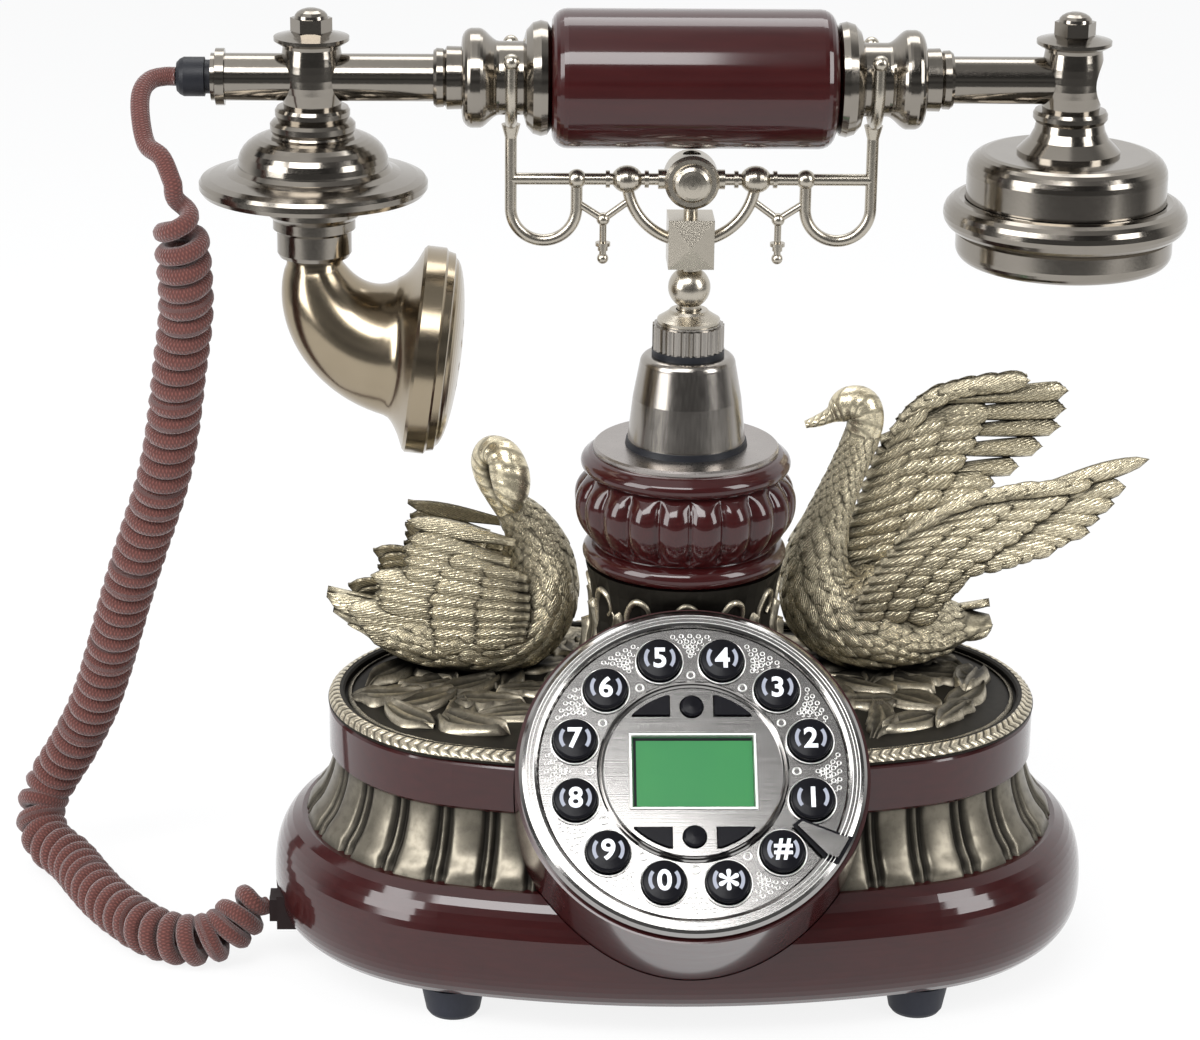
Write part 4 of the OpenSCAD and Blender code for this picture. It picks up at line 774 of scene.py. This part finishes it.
def add_swans():
    """Two cast swans: the left one with folded wings, the right one with its wings raised."""
    r = Relief()
    surf = swan_body(r, SWAN_LEFT, 9)
    cover(r, surf, 9.2, 5.2, 3.0, 0.42, hidden_below)
    cover(r, surf, 6.6, 1.2, 4.6, 0.75, hidden_below)
    for y in (-1, 1):
        r.blade((-8, y * 5, 13), (-36, y * 1.5, 20.5), (0, y * 0.6, 1), 9, 1.6, 0.02)
        fan(r, [(0, y * 12, 9), (2, y * 12, 17)],
            [(-24, y * 8.5, 11), (-31, y * 8, 21)], 4, 7.5, y, 0)
        fan(r, [(6, y * 12, 17), (8, y * 11.5, 24)],
            [(-22, y * 9.5, 21), (-23.5, y * 8.5, 30.5)], 4, 7.5, y, 0.7)
        fan(r, [(10, y * 11, 24), (13, y * 8, 34)],
            [(-16, y * 9.5, 30), (-14, y * 7.5, 41)], 4, 8, y, 1.3)
        r.blade((14, y * 8, 38), (-14.5, y * 7, 43.8), (0, y, 0.5), 5.5, 1.2, 0.02)
        fan(r, [(11, y * 12, 10), (14, y * 11, 20), (15, y * 8.5, 31)],
            [(-7, y * 12, 10), (-9, y * 11, 22), (-3, y * 8.5, 36)], 8, 7, y, 2.0)
        fan(r, [(16, y * 11, 12), (18, y * 10, 20), (17, y * 8, 30)],
            [(3, y * 12.5, 11), (3, y * 11.5, 21), (6, y * 9, 33)], 8, 6, y, 2.6)
    finish_swan(r, "swan_resting", "left_swan", -SWAN_X)
    r = Relief()
    surf = swan_body(r, SWAN_RIGHT, 9)
    cover(r, surf, 10.5, 6.2, 2.6, 0.34, hidden_below)
    cover(r, surf, 7.4, 1.4, 4.4, 0.7, hidden_below)
    for y in (-1, 1):
        r.blade((8, y * 5, 13), (26, y * 2.5, 14 + 2.5 * y), (0, y * 0.5, 1), 8, 1.6, 0.03)
        fan(r, [(8, 12.5, 73), (7, 12.5, 62), (4, 12, 48)],
            [(46.5, 17, 75), (44, 17, 62.5), (31, 15, 49)], 5, 6.3, y, 0, 1.5, tip=0.9)
        fan(r, [(2, 12, 50), (-1, 10.5, 38), (-4, 9, 26)],
            [(29, 14.5, 49), (20, 12, 41), (10, 10, 32)], 5, 8.5, y, 0.5)
        fan(r, [(1, 13, 68), (-1, 12, 54), (-6, 10, 38), (-8, 9, 24)],
            [(26, 15, 69), (21, 14, 57), (12, 12, 43), (3, 10.5, 28)], 9, 8.5, y, 1.2)
        fan(r, [(-4, 12, 62), (-7.5, 11, 50), (-12, 9.5, 36), (-12, 8, 22)],
            [(14, 14, 67), (10, 13, 54), (3, 11, 39), (-1, 10, 26)], 11, 7.5, y, 1.9)
        fan(r, [(-6.5, 11, 56), (-10.5, 10, 44), (-14.5, 9, 32), (-15, 7, 20)],
            [(5, 13, 62), (1, 12, 48), (-4, 10.5, 34), (-6, 9.5, 24)], 11, 6.5, y, 2.5, 1.3)
        fan(r, [(-4, 12, 57), (1, 12.5, 67), (10, 14, 73), (21, 15, 74.5)],
            [(4, 13, 65), (12, 14, 72.5), (23, 15, 75), (38, 16, 76.5)], 8, 6, y, 2.9, 1.2)
    fan(r, [(30, -21, 56), (20, -18, 49), (12, -16, 41), (6, -14, 34)],
        [(57, -26, 62), (47, -24.5, 47.5), (34, -22, 39.5), (20, -19, 35)], 10, 7.5, -1, 0)
    fan(r, [(5, -14, 36), (1, -12, 28), (-3, -10, 19)],
        [(20, -18, 36), (15, -16, 28), (9, -13, 18)], 6, 8, -1, 0.5)
    fan(r, [(21, -20, 54), (10, -17, 45), (3, -14, 35), (-2, -11, 22)],
        [(43, -24, 58), (31, -21.5, 46), (19, -18.5, 37), (8, -14, 24)], 10, 8, -1, 1.2)
    fan(r, [(10, -17, 49), (1, -14, 40), (-5, -12, 30), (-8, -9.5, 17)],
        [(29, -21.5, 55), (17, -18.5, 43), (8, -15, 32), (2, -12, 19)], 11, 7.5, -1, 1.9, 1.3)
    fan(r, [(0, -14, 43), (-6, -12, 34), (-11, -10.5, 24), (-12, -8.5, 14)],
        [(14, -18, 48), (5, -15.5, 37), (-2, -13, 27), (-5, -11, 16)], 11, 6.5, -1, 2.5, 1.3)
    fan(r, [(-4, -12.5, 39), (6, -15.5, 48), (18, -19, 54.5), (32, -22, 57)],
        [(6, -15.5, 47), (18, -19, 55.5), (33, -22, 59), (50, -24.5, 61.5)], 9, 5, -1, 3.0, 1.2)
    r.blade((30, -23, 57), (61, -26.5, 67.5), (0.1, -1, 0.4), 5, 1.4, 0.02)
    finish_swan(r, "swan_rising", "right_swan", SWAN_X)


LEAF_SPACING, LEAF_TRIES = 9.4, 6000


def leaf_spots(rng):
    """Places on the top plate, clear of its edge, the pedestal and the dial's housing."""
    spots = []
    for _ in range(LEAF_TRIES):
        x, y = rng.uniform(-88, 88), rng.uniform(-46, 46)
        ax = max(0.0, abs(x) - END_C)
        inside = math.hypot(ax, y) < 31 if ax else abs(y) < 38.5 - 0.0022 * x * x
        if not inside or math.hypot(x, y) < 32 or math.hypot(x, (y + 43) * 1.1) < 52:
            continue
        if all(math.hypot(x - q[0], y - q[1]) > LEAF_SPACING for q in spots):
            spots.append((x, y))
    return spots


def add_plate_leaves():
    """Raised leaves and stems over the top plate."""
    rng = random.Random(11)
    r = Relief()

    def ground(x, y, up):
        return x, y, DECK + 0.1 + up

    for k, (x, y) in enumerate(leaf_spots(rng)):
        a = rng.uniform(0, 2 * math.pi)
        long, w = rng.uniform(17, 24), rng.uniform(9, 12.5)
        dx, dy = math.cos(a) * long / 2, math.sin(a) * long / 2
        bend = rng.uniform(-0.12, 0.12)
        if k % 4 == 3:
            r.ridge(ground, [(x - dx, y - dy),
                             (x - dx * 0.3 - dy * 0.3, y - dy * 0.3 + dx * 0.3),
                             (x + dx * 0.4, y + dy * 0.4),
                             (x + dx * 0.7 + dy * 0.35, y + dy * 0.7 - dx * 0.35)], 1.0)
        r.leaf(ground, (x - dx, y - dy), (x + dx, y + dy), w, rng.uniform(2.0, 3.6), bend,
               rng.choice((0, 0, 3, 4)), rng.uniform(0, 1.4))
    dress(r.build("plate_leaves"), MAT["plate_relief"], "base")


def add_plate_rim():
    """The plate's plaited rim, and the thin bead inside it."""
    r = Relief()
    for arc, count in enumerate((60, 50, 60, 50)):
        def bead_point(s, v):
            t = -5.2 + 0.6 * math.cos(math.pi * (v - 0.5) * 2 + math.pi)
            return (*oval(arc, s, t), DECK + 0.55 * math.sin(math.pi * v)), 0.9, (s, v)
        r.grid(count, 7, bead_point)
    dress(r.build("plate_inner_ring"), MAT["plate_relief"], "base")
    r = Relief()
    for arc, count in enumerate((44, 40, 44, 40)):
        def plait_point(s, v):
            q = abs(2 * v - 1)
            ridge = abs(math.sin(math.pi * (s * count + 0.55 * (1 - q))))
            h = 0.65 * ridge ** 0.7 * (1 - q ** 6)
            x, y = oval(arc, s, lerp(0.35, -2.5, v) + 0.45 * h)
            # Tone: painted shade in the plait's grooves, painted highlight on its strands.
            return (x, y, lerp(70.6, 72.7, v) + 0.7 * h), 0.05 + 0.95 * ridge ** 1.4, (s, v)
        r.grid(count * 8, 11, plait_point)
    dress(r.build("plate_rim"), MAT["plate_relief"], "base")


def add_neck_leaves():
    """Acanthus leaves standing round the neck, with scrolls arching over them."""
    r = Relief()

    def ground(x, y, up):
        """x runs round the neck, 2 degrees to the unit, and y up it in millimetres."""
        h = max(0.0, min(1.0, y / 37.3))
        rr = 23.4 + (7.2 * (1 - h / 0.6) ** 1.6 if h < 0.6 else 2.4 * ((h - 0.6) / 0.4) ** 2) + up
        a = rad(2 * x)
        return rr * math.cos(a), rr * math.sin(a), DECK + y

    for k in range(12):
        c = 15 * k
        r.leaf(ground, (c, 0.5), (c, 22), 13, 1.8, 0, 4, 2.2, rows=18)
        r.leaf(ground, (c + 7.5, 8), (c + 7.5, 29), 9, 1.5, 0.03, 4, 1.4, rows=18)
        r.ridge(ground, [(c - 5.5, 23), (c - 4.6, 29), (c - 1.5, 32.6), (c + 2.2, 31.6),
                         (c + 3.2, 28.2), (c + 1.2, 26.2)], 1.15, 6, 0.5)
        r.ridge(ground, [(c + 6.6, 21), (c + 5.0, 26), (c + 2.4, 28.4)], 0.8, 6, 0.5)
    dress(r.build("neck_leaves_cast"), MAT["plate_relief"], "base")


add_swans()
add_plate_leaves()
add_plate_rim()
add_neck_leaves()


# ---------------------------------------------------------------- dial
DIAL = Matrix.Rotation(rad(46), 3, "X")
DIAL_AT = Vector((0, -58, 73))
# Heights over the dial's plane: the plate, the bezel, and the marks on the keys
FACE, BEZEL, MARKS = -0.3, 1.0, 2.62
KEY_RING_R, STOP_ANGLE = 30.5, 120
KEYS = ("4", "3", "2", "1", "hash", "star", "0", "9", "8", "7", "6", "5")
# Rows of each lace triangle, from the bezel inwards: radius, rings, degrees between them
LACE = ((36.6, 5, 3.1 * 1.05), (35.1, 4, 2.6), (33.7, 3, 2.0), (32.4, 2, 1.5), (31.2, 1, 1))


def on_dial(p):
    """A point given on the tilted dial, from the pedestal's axis."""
    return DIAL_AT + DIAL @ Vector(p)


def dial_piece(name, verts, faces, mat, body="base", tone=None):
    return dress(new_mesh(name, [on_dial(v) for v in verts], faces, tone=tone), mat, body)


def ring_mesh(relief, centre, radius, tube, z, start=0, end=360, sides=6, steps=16):
    """A thin ring, or a part of one, that lies on the dial at height z."""
    closed = end - start >= 360
    n = steps if closed else steps + 1
    base = len(relief.verts)
    for i in range(n):
        a = rad(lerp(start, end, i / steps))
        for j in range(sides):
            b = 2 * math.pi * j / sides
            rr = radius + tube * math.cos(b)
            p = (centre[0] + rr * math.cos(a), centre[1] + rr * math.sin(a), z + tube * math.sin(b))
            relief.verts.append(tuple(on_dial(p)))
            relief.tone.append(1.0)
            relief.uvs.append((0, 0))
    relief.faces += grid_faces(n, sides, wrap_u=closed, wrap_v=True, base=base)


def around(radius, angle):
    """A place on the dial, angle in degrees clockwise from its top."""
    return radius * math.sin(rad(angle)), radius * math.cos(rad(angle))


def add_dial_ornament():
    """Lace, small rings, the rims of the keys and the bezel's fine lines."""
    r = Relief()
    for a in range(0, 360, 30):
        ring_mesh(r, around(KEY_RING_R, a + 15), 5.98, 0.2, FACE + 0.35, sides=8, steps=48)
        if a == STOP_ANGLE:
            continue
        ring_mesh(r, around(25.9, a), 0.95, 0.26, FACE)
        for row, (rho, count, spread) in enumerate(LACE):
            for k in range(count):
                at = a + (k - (count - 1) / 2) * spread * 1.05
                ring_mesh(r, around(rho, at), 0.52, 0.15, FACE, sides=5, steps=10)
                if row < 4:
                    ring_mesh(r, around(rho - 0.7, at + 1.2), 0.3, 0.12, FACE, 200, 420, 5, 8)
    for radius, tube in ((39.9, 0.14), (40.9, 0.11), (41.7, 0.11)):
        ring_mesh(r, (0, 0), radius, tube, BEZEL, sides=6, steps=160)
    dress(r.build("dial_filigree"), MAT["filigree"], "base")


def add_stop_painted_shade():
    """A dark filled shape of painted shade under the finger stop, which points in between the 1 and
    the #.
    """
    c, s = math.cos(rad(STOP_ANGLE)), math.sin(rad(STOP_ANGLE))
    shape = [(-2.0, 29.3), (0.7, 28.2), (4.7, 39.9), (4.1, 43.0), (-4.1, 43.0), (-3.2, 38.3)]
    verts = [(x * c + y * s, y * c - x * s, BEZEL + 0.06) for x, y in shape]
    # Painted shade: a dark sheet laid on the dial under the finger stop.
    dial_piece("stop_painted_shade", verts, [tuple(range(len(verts)))], MAT["key_black"])


def text_mesh(name, word, size, place, body, mat, bold=0.0, extrude=0.15):
    """A figure centred on a place of the dial, as a mesh."""
    cu = bpy.data.curves.new(name + "_text", "FONT")
    cu.body, cu.size, cu.align_x, cu.align_y = word, size, "CENTER", "CENTER"
    cu.extrude, cu.offset, cu.resolution_u = extrude, bold, 6
    tmp = bpy.data.objects.new(name + "_tmp", cu)
    bpy.context.scene.collection.objects.link(tmp)
    me = bpy.data.meshes.new_from_object(tmp.evaluated_get(bpy.context.evaluated_depsgraph_get()))
    bpy.data.objects.remove(tmp)
    bpy.data.curves.remove(cu)
    me.name = name
    xs = [v.co.x for v in me.vertices]
    ys = [v.co.y for v in me.vertices]
    cx, cy = (min(xs) + max(xs)) / 2, (min(ys) + max(ys)) / 2
    for v in me.vertices:
        q = on_dial((place[0] + v.co.x - cx, place[1] + v.co.y - cy, place[2] + v.co.z))
        v.co = P(*q)
    ob = bpy.data.objects.new(name, me)
    bpy.context.scene.collection.objects.link(ob)
    return dress(ob, mat, body)


def flat_arc(verts, faces, centre, r0, r1, start, end, z):
    """Adds a flat band between two radii to the lists of points and faces."""
    base, n = len(verts), 9
    for i in range(n):
        a = rad(lerp(start, end, i / (n - 1)))
        for r in (r0, r1):
            verts.append((centre[0] + r * math.cos(a), centre[1] + r * math.sin(a), z))
    faces += grid_faces(n, 2, base=base)


def add_numerals():
    """The figure on each key, between two arcs."""
    for i, key in enumerate(KEYS):
        body = "key_%s_button" % key
        x, y = around(KEY_RING_R, 15 + 30 * i)
        word = {"hash": "#", "star": "*"}.get(key, key)
        text_mesh("numeral_" + key, word, 11.5 if key == "star" else 7.3, (x, y, MARKS), body,
                  MAT["ink_white"], 0.18)
        verts, faces = [], []
        for start in (-38, 142):
            flat_arc(verts, faces, (x, y), 3.1, 4.0, start, start + 76, MARKS + 0.02)
        dial_piece("arcs_" + key, verts, faces, MAT["ink_grey"], body)


def rectangle(x0, y0, x1, y1, z):
    """Four corners at height z."""
    return [(x0, y0, z), (x1, y0, z), (x1, y1, z), (x0, y1, z)]


def add_display_frame():
    """The display's thin bright frame, and painted shadow as dark lines at its top and left."""
    verts, faces = [], []
    for x, y, z in ((16.0, 10.2, FACE), (15.8, 10.0, FACE + 0.4), (15.4, 9.6, FACE + 0.4),
                    (15.1, 9.3, FACE - 0.3)):
        verts += rectangle(-x, -y, x, y, z)
    for k in range(3):
        for j in range(4):
            n = (j + 1) % 4
            faces.append((4 * k + j, 4 * k + n, 4 * k + 4 + n, 4 * k + 4 + j))
    ob = dial_piece("display_frame", verts, faces, MAT["filigree"])
    ob.data.polygons.foreach_set("use_smooth", [False] * len(ob.data.polygons))
    # Painted shadow of the frame's edge: dark lines at the display's top and left.
    shade = rectangle(-14.9, 8.3, 14.9, 9.1, FACE - 0.38)
    shade += rectangle(-14.9, -9.1, -14.2, 9.1, FACE - 0.38)
    dial_piece("display_painted_shadow", shade, [(0, 1, 2, 3), (4, 5, 6, 7)], MAT["key_black"])


add_dial_ornament()
add_stop_painted_shade()
add_numerals()
add_display_frame()


# ---------------------------------------------------------------- studio
def area(name, place, aim, size, power):
    """A rectangular lamp at a place, aimed at a point, in metres and watts."""
    data = bpy.data.lights.new(name, "AREA")
    data.shape, data.size, data.size_y, data.energy = "RECTANGLE", *size, power
    ob = bpy.data.objects.new(name, data)
    ob.location = place
    ob.rotation_euler = (Vector(aim) - Vector(place)).to_track_quat("-Z", "Y").to_euler()
    bpy.context.scene.collection.objects.link(ob)


def add_lamps():
    """Two keys from the sides; front_top is what the dial's lower left mirrors."""
    area("key_left", (-1.0, -0.6, 0.62), (0, 0, 0.12), (0.6, 1.0), 13)
    area("key_right", (1.0, -0.6, 0.7), (0, 0, 0.12), (0.45, 0.9), 9)
    area("front_top", (-0.2925, -0.68, 0.93), (-0.2925, 0, 0.2), (0.725, 0.35), 7.2)
    area("back_top", (0.0, 0.5, 1.1), (0, 0, 0.1), (0.9, 0.4), 4)


# What polished metal mirrors in front of the phone: height in the sky from 0 to 1, brightness
ROOM = ((0.0, 0.10), (0.47, 0.16), (0.52, 0.05), (0.60, 0.18), (0.72, 0.03), (0.86, 0.06),
        (0.92, 0.30), (1.0, 0.35))


def add_world():
    """White for the camera, plain soft light, and a banded dark room before a white wall."""
    world = bpy.data.worlds.new("studio")
    bpy.context.scene.world = world
    world.use_nodes = True
    t = world.node_tree
    t.nodes.clear()

    def node(kind, ins=(), **props):
        n = t.nodes.new("ShaderNode" + kind)
        for k, v in props.items():
            setattr(n, k, v)
        for k, v in dict(ins).items():
            if isinstance(v, bpy.types.NodeSocket):
                t.links.new(v, n.inputs[k])
            else:
                n.inputs[k].default_value = v
        return n

    def between(value, low, high):
        return node("MapRange", {"Value": value, "From Min": low, "From Max": high},
                    interpolation_type="SMOOTHSTEP").outputs[0]

    def combine(operation, a, b):
        return node("Math", {0: a, 1: b}, operation=operation).outputs[0]

    way = node("SeparateXYZ", {"Vector": node("TexCoord").outputs["Generated"]}).outputs
    sky = node("MapRange", {"Value": way["Z"], "From Min": -1.0}).outputs[0]
    room = node("ValToRGB", {"Fac": sky})
    stops = room.color_ramp.elements
    while len(stops) < len(ROOM):
        stops.new(0.5)
    for e, (pos, v) in zip(stops, ROOM):
        e.position, e.color = pos, (v, v, v, 1)
    ceiling = combine("MULTIPLY", between(way["X"], 0.10, -0.06), between(way["Z"], 0.62, 0.86))
    white_at = combine("MAXIMUM", ceiling, between(way["Y"], -0.05, 0.45))
    bright = node("Mix", {0: white_at, 6: room.outputs[0], 7: (1, 1, 1, 1)}, data_type="RGBA")
    shiny = node("Background", {"Strength": 1.0, "Color": bright.outputs[2]}).outputs[0]
    soft = node("Background", {"Strength": 0.55, "Color": (0.93, 0.96, 1, 1)}).outputs[0]
    white = node("Background", {"Strength": 1.0, "Color": (1, 1, 1, 1)}).outputs[0]
    rays = node("LightPath").outputs
    mirrored = combine("MAXIMUM", rays["Is Glossy Ray"], rays["Is Transmission Ray"])
    unseen = node("MixShader", {0: mirrored, 1: soft, 2: shiny}).outputs[0]
    out = node("MixShader", {0: rays["Is Camera Ray"], 1: unseen, 2: white}).outputs[0]
    node("OutputWorld", {0: out})


def add_floor():
    """A white floor that keeps the phone's shadow."""
    me = bpy.data.meshes.new("floor")
    me.from_pydata(rectangle(-0.8, -0.6, 0.8, 3.0, 0), [], [(0, 1, 2, 3)])
    ob = bpy.data.objects.new("floor", me)
    bpy.context.scene.collection.objects.link(ob)
    m = Nodes("floor_white")
    m.set(color=(0.9, 0.9, 0.9, 1), rough=0.9, spec=0.0)
    glow = m.add("Emission", ins={"Color": (1, 1, 1, 1), "Strength": 1.0})
    rays = m.add("LightPath")
    mirrored = m.math("MAXIMUM", rays.outputs["Is Glossy Ray"], rays.outputs["Is Transmission Ray"])
    seen = m.math("MAXIMUM", rays.outputs["Is Camera Ray"], mirrored)
    mix = m.add("MixShader")
    m.put(m.math("MULTIPLY", seen, 0.86), mix.inputs[0])
    m.put(m.bsdf, mix.inputs[1])
    m.put(glow, mix.inputs[2])
    m.put(mix, m.tree.nodes["Material Output"].inputs[0])
    me.materials.append(m.mat)


add_lamps()
add_world()
add_floor()

bpy.context.scene.view_settings.view_transform = "Standard"

bpy.context.view_layer.update()
